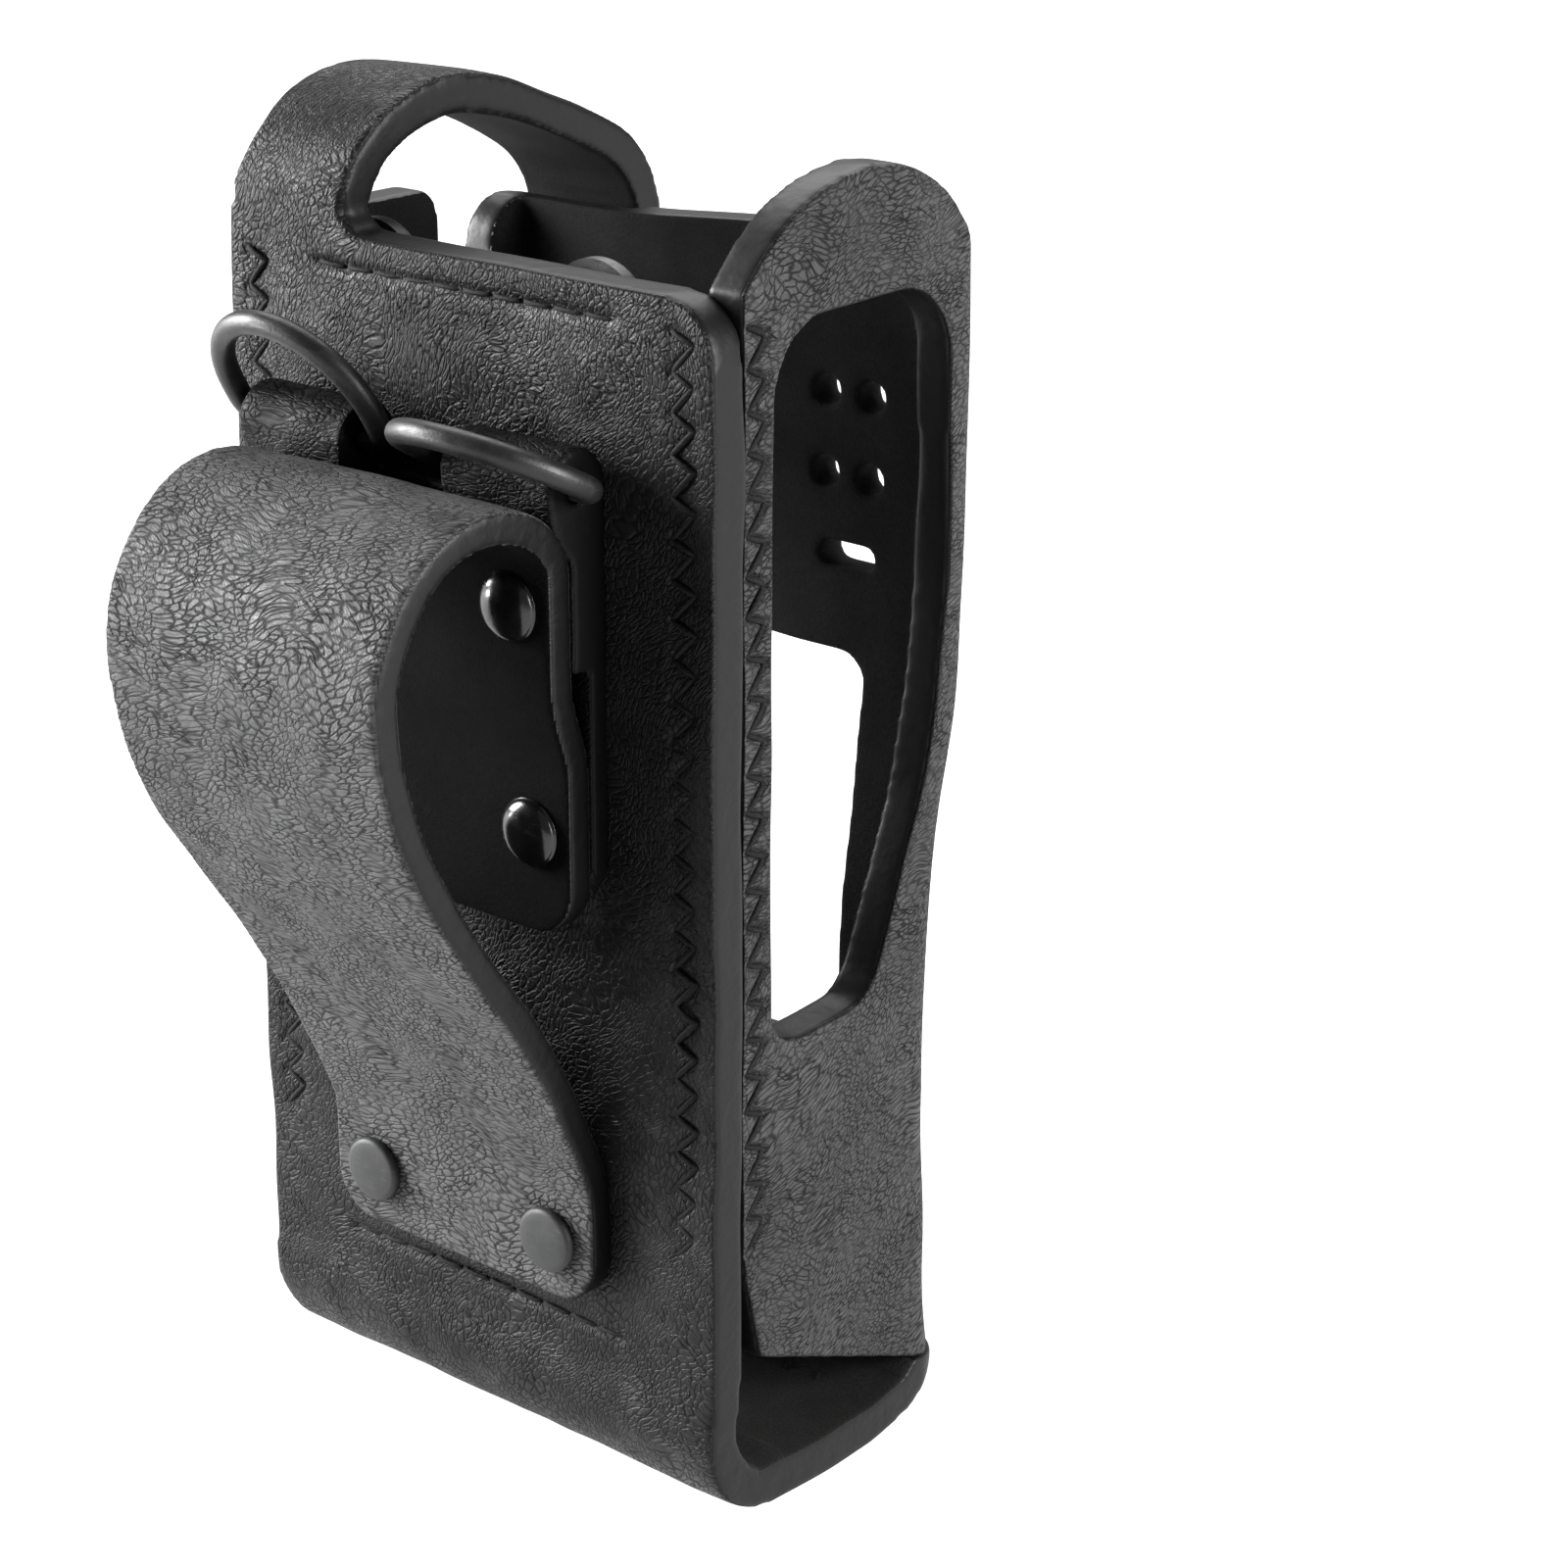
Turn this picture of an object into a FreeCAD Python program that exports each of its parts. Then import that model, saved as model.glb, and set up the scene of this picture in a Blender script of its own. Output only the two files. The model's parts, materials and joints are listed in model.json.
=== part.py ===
"""Open leather carrying case for a hand-held radio, with belt loop, D-rings and retention strap.

Millimetres. +X runs along the back panel, +Y from the back panel to the front panel, +Z up.
The helper functions measure y from the outer face of the back panel. save() moves every part so
that the origin is the centre of the flat foot.
"""
import FreeCAD
import Part
import math
import os

V = FreeCAD.Vector

# ---- case: overall sizes -------------------------------------------------------------------
CASE_W = 72.0          # outer width
BACK_H = 146.5         # top edge of the back panel
FRONT_H = BACK_H - 1.5 # top edge of the front panel
LEATHER = 5.0          # case leather with its suede lining
DEPTH_TOP = 48.3       # outer depth above WAIST_TOP_Z
DEPTH_WAIST = 42.6     # outer depth at the waist
DEPTH_FOOT = 45.0      # outer depth at the seam of the bottom flap
WAIST_Z = 48.0
WAIST_TOP_Z = 110.0    # the front is flat and upright above this height
BOTTOM_SEAM_Z = 7.0    # butt seam between the bottom flap and the front panel
FOOT_Y = (10.0, 35.0)  # flat part of the bottom flap
BEND_R = LEATHER + 1.0 # outer radius of the upright front corners
BULGE = 0.8            # how far the back swells out above the bottom bend

# ---- side walls ----------------------------------------------------------------------------
HUMP_RISE = 12.0       # right wall's crown above the front panel's top edge
WING_FOOT_Z = 21.4     # back end of the walls' slanted lower edge
WINDOW_LOW = 60.0      # right wall window: bottom edge
WINDOW_TOP = FRONT_H - 2.6     # right wall window: top edge
WINDOW_BACK = LEATHER + 5.0    # window's back edge, both walls
LEFT_TOP = BACK_H - 0.8        # left wall's flat top
NOTCH = (29.0, 38.0)   # slot that is open at the top of the left wall
LEFT_WINDOW = (62.0, 122.0)

# ---- front panel openings ------------------------------------------------------------------
FRONT_WINDOW = (23.3, 45.0, 95.4)   # half width, bottom, top
SOUND_HOLE_R = 1.9
SOUND_HOLES_X = (16.5, 22.9)
SOUND_HOLES_Z = (116.4, 126.1)
SOUND_SLOT = (19.9, 106.7, 8.0, 3.0)  # centre x, centre z, length, height

# ---- liner patch inside the back panel -----------------------------------------------------
LINER_HALF_W = 21.5
LINER_Z = (20.5, BACK_H - 1.5)
LINER_T = 1.5
DISC_R = 6.5
DISC_T = 2.2
DISC_X = (-19.0, 14.0)
DISC_Z = BACK_H - 5.9

# ---- belt loop -----------------------------------------------------------------------------
LOOP_W = 41.5
LOOP_T = 3.6
LOOP_REACH = 34.3      # outermost point of the loop's grain side
LOOP_TOP = 125.6       # top of the fold
LOOP_LOW = 27.0        # lower end of the outer leg
INNER_LOW = 74.0       # lower end of the inner leg
LOOP_CORNER_R = 6.0
STEP_Z = (92.0, 105.5)     # the inner leg steps out over the folded tails between these heights
FOLD_Z = 117.0             # the fold starts here

# ---- ring carrier and D-rings --------------------------------------------------------------
CARRIER_T = 2.6
TAB_W = 16.0
TAB_X = (-18.0, 13.0)
WEB_TOP = 122.0
CARRIER_LOW = 78.0
TAIL_LOW = 105.0       # lower end of the tabs' folded tails
WIRE_R = 1.4
BAR_CLEAR = 0.3        # between a ring's bar and the fold around it
BAR_Z = 125.5
RING_HALF_W = 11.0     # to the wire's centre
RING_LEG = 4.0         # straight leg between the bar and the bow
RING_CORNER_R = 2.5
RING_TILT = (60.0, 28.0)   # above the horizontal, left and right

# ---- rivets --------------------------------------------------------------------------------
RIVET_HEAD_R = 4.0
RIVET_SHANK_R = 1.5
UPPER_HEAD_T = 1.8
LOWER_HEAD_T = 1.2
UPPER_RIVETS = ((-15.0, 112.5), (15.0, 112.5), (-15.0, 86.0), (15.0, 86.0))
LOWER_RIVETS = ((-14.0, 34.5), (14.0, 34.5))
WASHER_R = 4.5
WASHER_T = 1.0

# ---- top strap and its snap ----------------------------------------------------------------
STRAP_W = 18.5
STRAP_X = (-CASE_W / 2, -CASE_W / 2 + STRAP_W)
STRAP_T = 4.5
STRAP_ROOT = BACK_H + 5.0      # where the strap leaves the back panel
STRAP_CROWN = BACK_H + 15.1    # highest point of the strap
STRAP_TAIL = BACK_H - 14.0     # the strap hangs straight below this height
STRAP_TIP = BACK_H - 36.0
HINGE_GAP = 0.3
SNAP_Z = BACK_H - 26.0
SNAP_CAP_R = 6.25
SNAP_CAP_T = 1.6
STUD_R = 2.8
STUD_BASE_R = 4.5
STUD_BASE_T = 0.4
STUD_H = 1.6
POST_CAP_R = STRAP_W / 2 - LEATHER - 0.85   # clear of the left wall
SOCKET_R = (5.1, 6.2)
SOCKET_T = 1.2
SNAP_GAP = 1.8         # between the front panel and the strap
EDGE_EASE = 3.0        # rounding of the front panel's top edge where the strap folds over it
POST_R = 1.6
POST_CAP_T = 0.8

# ---- stitching -----------------------------------------------------------------------------
THREAD_T = 0.5         # how far a stitch stands off the leather
THREAD_W = 0.8
ZIGZAG_PITCH = 4.3
ZIGZAG_W = 3.0         # between the middles of the thread's turns
ZIGZAG_INSET = 4.5     # from the back panel's edge to the seam's middle
ZIGZAG_WALL = 2.5      # from the back panel's inner face to the seam's middle on the wall
SEAM_Z = (36.0, BACK_H - 3.5)
BOTTOM_SEAM_HALF = 27.0
LINER_STITCH = 3.4
LINER_STITCH_GAP = 1.0
LINER_ROWS_Z = (22.6, BACK_H - 3.7)

HALF_W = CASE_W / 2
INNER_HALF = HALF_W - LEATHER
FAR = 400.0            # larger than the case, for cutting tools
END_LEAD = 0.06        # share of a spline's end span that keeps the end direction
OFFSET_STEPS = 48      # points along a sheet's inner side
BAR_Y = -(CARRIER_T + WIRE_R + BAR_CLEAR)
SNAP_X = sum(STRAP_X) / 2
STRAP_OUT = DEPTH_TOP + SNAP_GAP + STRAP_T   # strap's grain side in front of the case


def save(name, shape):
    shape = shape.copy()
    shape.translate(V(0, -sum(FOOT_Y) / 2, 0))
    shape.exportStep("parts/%s.step" % name)


# ---- drawing helpers -----------------------------------------------------------------------
UP, DOWN, FRONTWARDS = V(0, 0, 1), V(0, 0, -1), V(0, 1, 0)
STRAP_LEAN = V(0, 0.45, 0.89)   # direction in which the strap leaves its root


def yz(y, z, x=0.0):
    return V(x, y, z)


def xz(x, z, y=0.0):
    return V(x, y, z)


def spline(points, start=None, end=None):
    """Smooth curve through points; start and end are the directions it leaves and arrives in."""
    points = list(points)
    if start is not None:
        lead = (points[1] - points[0]).Length * END_LEAD
        points.insert(1, points[0] + V(start).normalize() * lead)
    if end is not None:
        lead = (points[-1] - points[-2]).Length * END_LEAD
        points.insert(-1, points[-1] - V(end).normalize() * lead)
    curve = Part.BSplineCurve()
    curve.interpolate(points)
    return curve


def step_curve(low, high):
    """S-shaped curve between two points, upright at both ends."""
    lead = V(0, 0, (high.z - low.z) * 0.45)
    curve = Part.BezierCurve()
    curve.setPoles([low, low + lead, high - lead, high])
    return curve


def rounded(corners):
    """Closed face through corners, each (point, radius)."""
    count = len(corners)
    starts, ends, arcs = [], [], []
    for i in range(count):
        here, radius = corners[i]
        before = (corners[i - 1][0] - here).normalize()
        after = (corners[(i + 1) % count][0] - here).normalize()
        if radius <= 0:
            starts.append(here)
            ends.append(here)
            arcs.append(None)
            continue
        angle = before.getAngle(after)
        run = radius / math.tan(angle / 2)
        bisector = (before + after).normalize()
        centre = here + bisector * (radius / math.sin(angle / 2))
        starts.append(here + before * run)
        ends.append(here + after * run)
        middle = centre - bisector * radius
        arcs.append(Part.Arc(starts[-1], middle, ends[-1]).toShape())
    edges = []
    for i in range(count):
        if arcs[i]:
            edges.append(arcs[i])
        edges.append(Part.makeLine(ends[i], starts[(i + 1) % count]))
    return Part.Face(Part.Wire(edges))


def slab_x(face, low, high):
    """Extrudes a face drawn in the plane x = 0 from x = low to x = high."""
    face = face.copy()
    face.translate(V(low, 0, 0))
    return face.extrude(V(high - low, 0, 0))


def slab_y(face, low, high):
    face = face.copy()
    face.translate(V(0, low, 0))
    return face.extrude(V(0, high - low, 0))


def box(low, high):
    return Part.makeBox(high[0] - low[0], high[1] - low[1], high[2] - low[2], V(*low))


def rod_y(x, z, radius, low, high):
    return Part.makeCylinder(radius, high - low, V(x, low, z), V(0, 1, 0))


def to_right(direction):
    """Unit normal to the right of a direction, seen from +X with +Y to the right."""
    return V(0, direction.z, -direction.y).normalize()


def band(curve, thickness, low, high, start, end):
    """Sheet of leather along curve, thickness to its right, between x = low and x = high.

    start and end are the curve's end directions, so that the sheet's ends are cut square."""
    first, last = curve.FirstParameter, curve.LastParameter
    a, b = curve.value(first), curve.value(last)
    inner = [a + to_right(start) * thickness]
    for i in range(1, OFFSET_STEPS):
        at = first + (last - first) * i / OFFSET_STEPS
        inner.append(curve.value(at) + to_right(curve.tangent(at)[0]) * thickness)
    inner.append(b + to_right(end) * thickness)
    wire = Part.Wire([curve.toShape(), Part.makeLine(b, inner[-1]), spline(inner).toShape(),
                      Part.makeLine(inner[0], a)])
    return slab_x(Part.Face(wire), low, high)


def cut_all(shape, tools):
    for tool in tools:
        shape = shape.cut(tool)
    return shape.removeSplitter()


# ---- the back sheet: back panel and bottom flap --------------------------------------------
def back_sheet():
    flat_end = LINER_Z[0] - 0.5
    bend = spline([yz(0, flat_end), yz(-BULGE, flat_end * 0.66), yz(0.6, 6.8), yz(4.3, 2.2),
                   yz(FOOT_Y[0], 0)], DOWN, FRONTWARDS)
    toe = spline([yz(FOOT_Y[1], 0), yz(FOOT_Y[1] + 5.3, 2.2), yz(DEPTH_FOOT, BOTTOM_SEAM_Z),
                  yz(DEPTH_FOOT + 2.0, BOTTOM_SEAM_Z + 4.4)], FRONTWARDS, UP)
    panel = box((-HALF_W, 0, flat_end), (HALF_W, LEATHER, BACK_H))
    foot = box((-HALF_W, FOOT_Y[0], 0), (HALF_W, FOOT_Y[1], LEATHER))
    sheet = panel.fuse([band(bend, -LEATHER, -HALF_W, HALF_W, DOWN, FRONTWARDS), foot,
                        band(toe, -LEATHER, -HALF_W, HALF_W, FRONTWARDS, UP)]).removeSplitter()
    sheet = sheet.cut(box((-FAR, -FAR, -FAR), (FAR, FAR, 0)))
    above_seam = box((-FAR, FOOT_Y[1] - 2, BOTTOM_SEAM_Z), (FAR, FAR, FAR))
    return sheet.cut(above_seam)


def strap_stub():
    """The root of the strap on the back panel, with a concave corner beside it."""
    top = hinge_point().z - STRAP_T / 2 - HINGE_GAP
    low = BACK_H - 4.0
    rise = top - BACK_H
    stub = box((STRAP_X[0], 0, low), (STRAP_X[1], LEATHER, top))
    fillet = box((STRAP_X[1], 0, low), (STRAP_X[1] + 2 * rise, LEATHER, top))
    hollow = rod_y(STRAP_X[1] + 2 * rise, BACK_H + 2 * rise, 2 * rise, -1, LEATHER + 1)
    return stub.fuse(fillet.cut(hollow))


def make_back_sheet():
    sheet = back_sheet().fuse(strap_stub()).removeSplitter()
    corner = 7.0
    block = box((HALF_W - corner, -1, BACK_H - corner), (HALF_W + 1, LEATHER + 1, BACK_H + 1))
    block = block.cut(rod_y(HALF_W - corner, BACK_H - corner, corner, -2, LEATHER + 2))
    tools = [block]
    for x, z in UPPER_RIVETS + LOWER_RIVETS:
        tools.append(rod_y(x, z, RIVET_SHANK_R, -1, LEATHER + 1))
        tools.append(rod_y(x, z, WASHER_R, LEATHER - WASHER_T, LEATHER + 1))
    return cut_all(sheet, tools)


# ---- the front wrap: front panel and both side walls ---------------------------------------
def depth_profile(shift):
    """Region between the back panel's inner face and the front, drawn in the plane x = 0."""
    swell = DEPTH_TOP - DEPTH_WAIST
    front = spline([yz(DEPTH_FOOT + shift, BOTTOM_SEAM_Z),
                    yz(DEPTH_WAIST + 0.5 + shift, WAIST_Z - 12),
                    yz(DEPTH_WAIST + shift, WAIST_Z),
                    yz(DEPTH_WAIST + 0.3 * swell + shift, WAIST_Z + 27),
                    yz(DEPTH_WAIST + 0.62 * swell + shift, WAIST_Z + 39),
                    yz(DEPTH_TOP + shift, WAIST_TOP_Z)], yz(-0.12, 1), yz(0, 1))
    top = BACK_H + 40
    low_front, high_front = yz(DEPTH_FOOT + shift, BOTTOM_SEAM_Z), yz(DEPTH_TOP + shift, WAIST_TOP_Z)
    a, b, c = yz(DEPTH_TOP + shift, top), yz(LEATHER, top), yz(LEATHER, BOTTOM_SEAM_Z)
    return Part.Face(Part.Wire([front.toShape(), Part.makeLine(high_front, a), Part.makeLine(a, b),
                                Part.makeLine(b, c), Part.makeLine(c, low_front)]))


def round_front_edges(solid, half, radius):
    picked = []
    for edge in solid.Edges:
        bounds = edge.BoundBox
        upright = bounds.ZLength > 30 and bounds.XLength < 1e-6
        at_side = abs(abs(bounds.XMin) - half) < 1e-6
        if upright and at_side and bounds.YMin > DEPTH_WAIST / 2:
            picked.append(edge)
    return solid.makeFillet(radius, picked)


def wrap_shell():
    outer = slab_x(depth_profile(0), -HALF_W, HALF_W)
    outer = round_front_edges(outer, HALF_W, BEND_R)
    inner = slab_x(depth_profile(-LEATHER), -INNER_HALF, INNER_HALF)
    inner = round_front_edges(inner, INNER_HALF, BEND_R - LEATHER)
    return outer.cut(inner)


def above(points, x_low, x_high, top=FAR):
    """Everything above a spline drawn in the plane x = 0."""
    curve = spline(points).toShape()
    a, b = points[-1], points[0]
    edges = [curve, Part.makeLine(a, yz(a.y, top)), Part.makeLine(yz(a.y, top), yz(b.y, top)),
             Part.makeLine(yz(b.y, top), b)]
    return slab_x(Part.Face(Part.Wire(edges)), x_low, x_high)


def right_crown():
    crown = FRONT_H + HUMP_RISE
    return above([yz(-10, BACK_H - 13), yz(LEATHER, BACK_H), yz(11.2, crown - 4.6),
                  yz(19.3, crown - 0.9), yz(27.0, crown), yz(34.6, crown - 1.7),
                  yz(40.1, crown - 4.9), yz(44.6, crown - 9.3), yz(DEPTH_TOP + 1, FRONT_H - 0.5)],
                 0, FAR)


def front_top():
    """Removes everything above the front panel's top edge, which rises into the right wall."""
    ramp_low, ramp_high = HALF_W - 12.0, HALF_W
    curve = spline([xz(ramp_low, FRONT_H), xz(HALF_W - 5.0, FRONT_H + 2.2),
                    xz(ramp_high, FRONT_H + 7.0)], V(1, 0, 0), V(0.6, 0, 1)).toShape()
    corners = [xz(ramp_high, FRONT_H + 7.0), xz(ramp_high, FAR), xz(-FAR, FAR), xz(-FAR, FRONT_H),
               xz(ramp_low, FRONT_H)]
    lines = [Part.makeLine(corners[i], corners[i + 1]) for i in range(4)]
    return slab_y(Part.Face(Part.Wire([curve] + lines)), DEPTH_WAIST - 0.5, FAR)


def left_top():
    """Left wall: flat top, and a slot that is open upwards between the wall and the front."""
    keep_back = rounded([(yz(-FAR, -FAR), 0), (yz(NOTCH[0], -FAR), 0),
                         (yz(NOTCH[0], LEFT_TOP), 3.0), (yz(-FAR, LEFT_TOP), 0)])
    keep_front = rounded([(yz(NOTCH[1], -FAR), 0), (yz(FAR, -FAR), 0), (yz(FAR, FRONT_H), 0),
                          (yz(NOTCH[1], FRONT_H), 6.0)])
    upper = box((-FAR, 0, LEFT_WINDOW[1] - 4.0), (0, DEPTH_WAIST, FAR))
    return upper.cut(slab_x(keep_back, -FAR, 1)).cut(slab_x(keep_front, -FAR, 1))


def right_window():
    face = rounded([(yz(WINDOW_BACK, WINDOW_LOW), 5.0), (yz(28.0, WINDOW_LOW), 6.0),
                    (yz(37.0, 82.0), 25.0), (yz(41.4, 107.0), 40.0),
                    (yz(40.6, WINDOW_TOP), 9.0), (yz(WINDOW_BACK, WINDOW_TOP), 9.0)])
    return slab_x(face, INNER_HALF - 1, FAR)


def left_window():
    low, high = LEFT_WINDOW
    face = rounded([(yz(WINDOW_BACK, low), 5.0), (yz(28.0, low), 6.0), (yz(NOTCH[1], 86.0), 25.0),
                    (yz(NOTCH[1], high), 0.0), (yz(WINDOW_BACK, high), 6.0)])
    return slab_x(face, -FAR, -INNER_HALF + 1)


def wing_foot():
    """The walls' lower edge slants down to the front, its back corner curls off the back."""
    face = rounded([(yz(-FAR, -FAR), 0), (yz(FAR, -FAR), 0), (yz(FAR, BOTTOM_SEAM_Z), 0),
                    (yz(DEPTH_FOOT - 4.5, BOTTOM_SEAM_Z), 0), (yz(8.2, WING_FOOT_Z), 2.0),
                    (yz(LEATHER, WING_FOOT_Z + 13), 14.0), (yz(LEATHER, FAR), 0),
                    (yz(-FAR, FAR), 0)])
    return slab_x(face, -FAR, FAR)


def front_openings():
    half, low, high = FRONT_WINDOW
    window = rounded([(xz(-half, low), 4.0), (xz(half, low), 4.0), (xz(half, high), 4.0),
                      (xz(-half, high), 4.0)])
    x, z, length, height = SOUND_SLOT
    slot = rounded([(xz(x - length / 2, z - height / 2), 1.4), (xz(x + length / 2, z - height / 2), 1.4),
                    (xz(x + length / 2, z + height / 2), 1.4), (xz(x - length / 2, z + height / 2), 1.4)])
    near = DEPTH_WAIST - LEATHER - 1
    tools = [slab_y(window, near, FAR), slab_y(slot, near, FAR)]
    tools += [rod_y(x, z, SOUND_HOLE_R, near, FAR) for x in SOUND_HOLES_X for z in SOUND_HOLES_Z]
    tools.append(rod_y(SNAP_X, SNAP_Z, POST_R, near, FAR))
    return tools


def strap_ease():
    """Rounds the outer top edge of the front panel under the strap."""
    y, z = DEPTH_TOP - EDGE_EASE, FRONT_H - EDGE_EASE
    low, high = -HALF_W, STRAP_X[1] + EDGE_EASE
    corner = box((low, y, z), (high, DEPTH_TOP + 1, FRONT_H + 1))
    return corner.cut(Part.makeCylinder(EDGE_EASE, high - low, V(low, y, z), V(1, 0, 0)))


def make_front_wrap():
    tools = [right_crown(), front_top(), left_top(), right_window(), left_window(), wing_foot(),
             strap_ease()]
    return cut_all(wrap_shell(), tools + front_openings())


# ---- liner ---------------------------------------------------------------------------------
def make_liner():
    low, high = LINER_Z
    face = rounded([(xz(-LINER_HALF_W, low), 1.0), (xz(LINER_HALF_W, low), 1.0),
                    (xz(LINER_HALF_W, high), 3.0), (xz(-LINER_HALF_W, high), 3.0)])
    return slab_y(face, LEATHER, LEATHER + LINER_T)


def make_discs():
    base = LEATHER + LINER_T
    discs = []
    for x in DISC_X:
        disc = rod_y(x, DISC_Z, DISC_R, base, base + DISC_T)
        rim = [e for e in disc.Edges if abs(e.BoundBox.YMin - base - DISC_T) < 1e-6
               and e.BoundBox.YLength < 1e-6]
        discs.append(disc.makeFillet(DISC_T * 0.45, rim))
    return Part.makeCompound(discs)


# ---- belt loop -----------------------------------------------------------------------------
def inner_leg_y(z):
    """Grain side of the inner leg: on the carrier plate low down, on the folded tails above."""
    return -CARRIER_T if z < TAIL_LOW else -2 * CARRIER_T


def loop_curve():
    reach, top = -LOOP_REACH, LOOP_TOP
    rise = step_curve(yz(inner_leg_y(0), STEP_Z[0]), yz(inner_leg_y(FAR), STEP_Z[1]))
    inner = inner_leg_y(FAR)
    fold = [yz(inner, FOLD_Z), yz(inner - 1.4, top - 5.0), yz(inner - 4.4, top - 2.2),
            yz(inner - 8.2, top - 0.6), yz(-18, top), yz(-24.4, top - 1.7), yz(-30.2, 118.9),
            yz(reach + 0.4, 111), yz(reach, 103.5), yz(reach + 2.6, 93), yz(reach + 7, 84),
            yz(reach + 12.8, 74.6), yz(-14.6, 64),
            yz(-LOOP_T - 5.0, 54), yz(-LOOP_T - 1.3, 46), yz(-LOOP_T, 40)]
    return rise, spline(fold, UP, DOWN)


def make_belt_loop():
    half = LOOP_W / 2
    rise, fold = loop_curve()
    low_leg = box((-half, inner_leg_y(0) - LOOP_T, INNER_LOW), (half, inner_leg_y(0), STEP_Z[0]))
    high_leg = box((-half, inner_leg_y(FAR) - LOOP_T, STEP_Z[1]),
                   (half, inner_leg_y(FAR), FOLD_Z))
    end = box((-half, -LOOP_T, LOOP_LOW), (half, 0, 40))
    loop = low_leg.fuse([band(rise, -LOOP_T, -half, half, UP, UP), high_leg,
                         band(fold, -LOOP_T, -half, half, UP, DOWN), end]).removeSplitter()
    corners = [e for e in loop.Edges if e.BoundBox.XLength < 1e-6 and e.BoundBox.ZLength < 1e-6
               and (abs(e.BoundBox.ZMin - LOOP_LOW) < 1e-6 or abs(e.BoundBox.ZMin - INNER_LOW) < 1e-6)]
    loop = loop.makeFillet(LOOP_CORNER_R, corners)
    holes = [rod_y(x, z, RIVET_SHANK_R, -12, 1) for x, z in UPPER_RIVETS]
    holes += [rod_y(x, z, RIVET_SHANK_R, -LOOP_T - 1, 1) for x, z in LOWER_RIVETS]
    return cut_all(loop, holes)


# ---- ring carrier and rings ----------------------------------------------------------------
def carrier_tab(x):
    """A tab that folds over a ring's bar, with its tail lying on the plate."""
    fold_r = WIRE_R + BAR_CLEAR + CARRIER_T
    top = yz(BAR_Y, BAR_Z + fold_r)
    front = yz(BAR_Y - fold_r, BAR_Z)
    tail_top = yz(-2 * CARRIER_T, BAR_Z - 9.0)
    low_front, low_back = yz(-2 * CARRIER_T, TAIL_LOW), yz(0, TAIL_LOW)
    side = yz(BAR_Y + fold_r, BAR_Z)
    over = Part.Arc(side, top, front).toShape()
    down = spline([front, yz(BAR_Y - fold_r + 1.1, BAR_Z - 4.5), tail_top], yz(0, -1), yz(0, -1))
    wire = Part.Wire([over, down.toShape(), Part.makeLine(tail_top, low_front),
                      Part.makeLine(low_front, low_back), Part.makeLine(low_back, side)])
    tab = slab_x(Part.Face(wire), x - TAB_W / 2, x + TAB_W / 2)
    eye = Part.makeCylinder(WIRE_R + BAR_CLEAR, TAB_W + 2, V(x - TAB_W / 2 - 1, BAR_Y, BAR_Z),
                            V(1, 0, 0))
    return tab.cut(eye)


def make_carrier():
    left, right = TAB_X[0] - TAB_W / 2, TAB_X[1] + TAB_W / 2
    plate = rounded([(xz(left, CARRIER_LOW), 4.0), (xz(right, CARRIER_LOW), 4.0),
                     (xz(right, WEB_TOP), 0), (xz(left, WEB_TOP), 0)])
    plate = slab_y(plate, -CARRIER_T, 0)
    carrier = plate.fuse([carrier_tab(x) for x in TAB_X]).removeSplitter()
    return cut_all(carrier, [rod_y(x, z, RIVET_SHANK_R, -9, 1) for x, z in UPPER_RIVETS])


def make_ring(x, tilt):
    """D-ring drawn flat with its bar on the X axis, then tilted up about the bar."""
    w, leg, r = RING_HALF_W, RING_LEG, RING_CORNER_R
    k = r * (1 - math.sqrt(0.5))
    left, right = V(-w, -r, 0), V(w, -r, 0)
    edges = [Part.makeLine(V(-w + r, 0, 0), V(w - r, 0, 0)),
             Part.Arc(V(w - r, 0, 0), V(w - k, -k, 0), right).toShape(),
             Part.makeLine(right, V(w, -leg, 0)),
             Part.Arc(V(w, -leg, 0), V(0, -leg - w, 0), V(-w, -leg, 0)).toShape(),
             Part.makeLine(V(-w, -leg, 0), left),
             Part.Arc(left, V(-w + k, -k, 0), V(-w + r, 0, 0)).toShape()]
    path = Part.Wire(edges)
    circle = Part.makeCircle(WIRE_R, V(-w + r, 0, 0), V(1, 0, 0))
    ring = path.makePipeShell([Part.Wire(circle)], True, False)
    ring.rotate(V(0, 0, 0), V(1, 0, 0), -tilt)
    ring.translate(V(x, BAR_Y, BAR_Z))
    return ring


# ---- rivets --------------------------------------------------------------------------------
def domed_rivet(x, z, seat, height):
    """Cap on the plane y = seat, facing -Y, with its shank through to the washer."""
    sphere_r = (RIVET_HEAD_R ** 2 + (height * 0.8) ** 2) / (2 * height * 0.8)
    rim = rod_y(x, z, RIVET_HEAD_R, seat - height * 0.2, seat)
    ball = Part.makeSphere(sphere_r, V(x, seat - height + sphere_r, z))
    dome = ball.common(rod_y(x, z, RIVET_HEAD_R, seat - height, seat - height * 0.2))
    shank = rod_y(x, z, RIVET_SHANK_R, seat, LEATHER - WASHER_T)
    return rim.fuse([dome, shank]).removeSplitter()


def flat_rivet(x, z, seat, height):
    head = rod_y(x, z, RIVET_HEAD_R, seat - height, seat)
    rim = [e for e in head.Edges if abs(e.BoundBox.YMin - seat + height) < 1e-6
           and e.BoundBox.YLength < 1e-6]
    head = head.makeFillet(height * 0.6, rim)
    return head.fuse(rod_y(x, z, RIVET_SHANK_R, seat, LEATHER - WASHER_T)).removeSplitter()


def make_upper_rivets():
    return Part.makeCompound([domed_rivet(x, z, inner_leg_y(z) - LOOP_T, UPPER_HEAD_T)
                              for x, z in UPPER_RIVETS])


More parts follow.
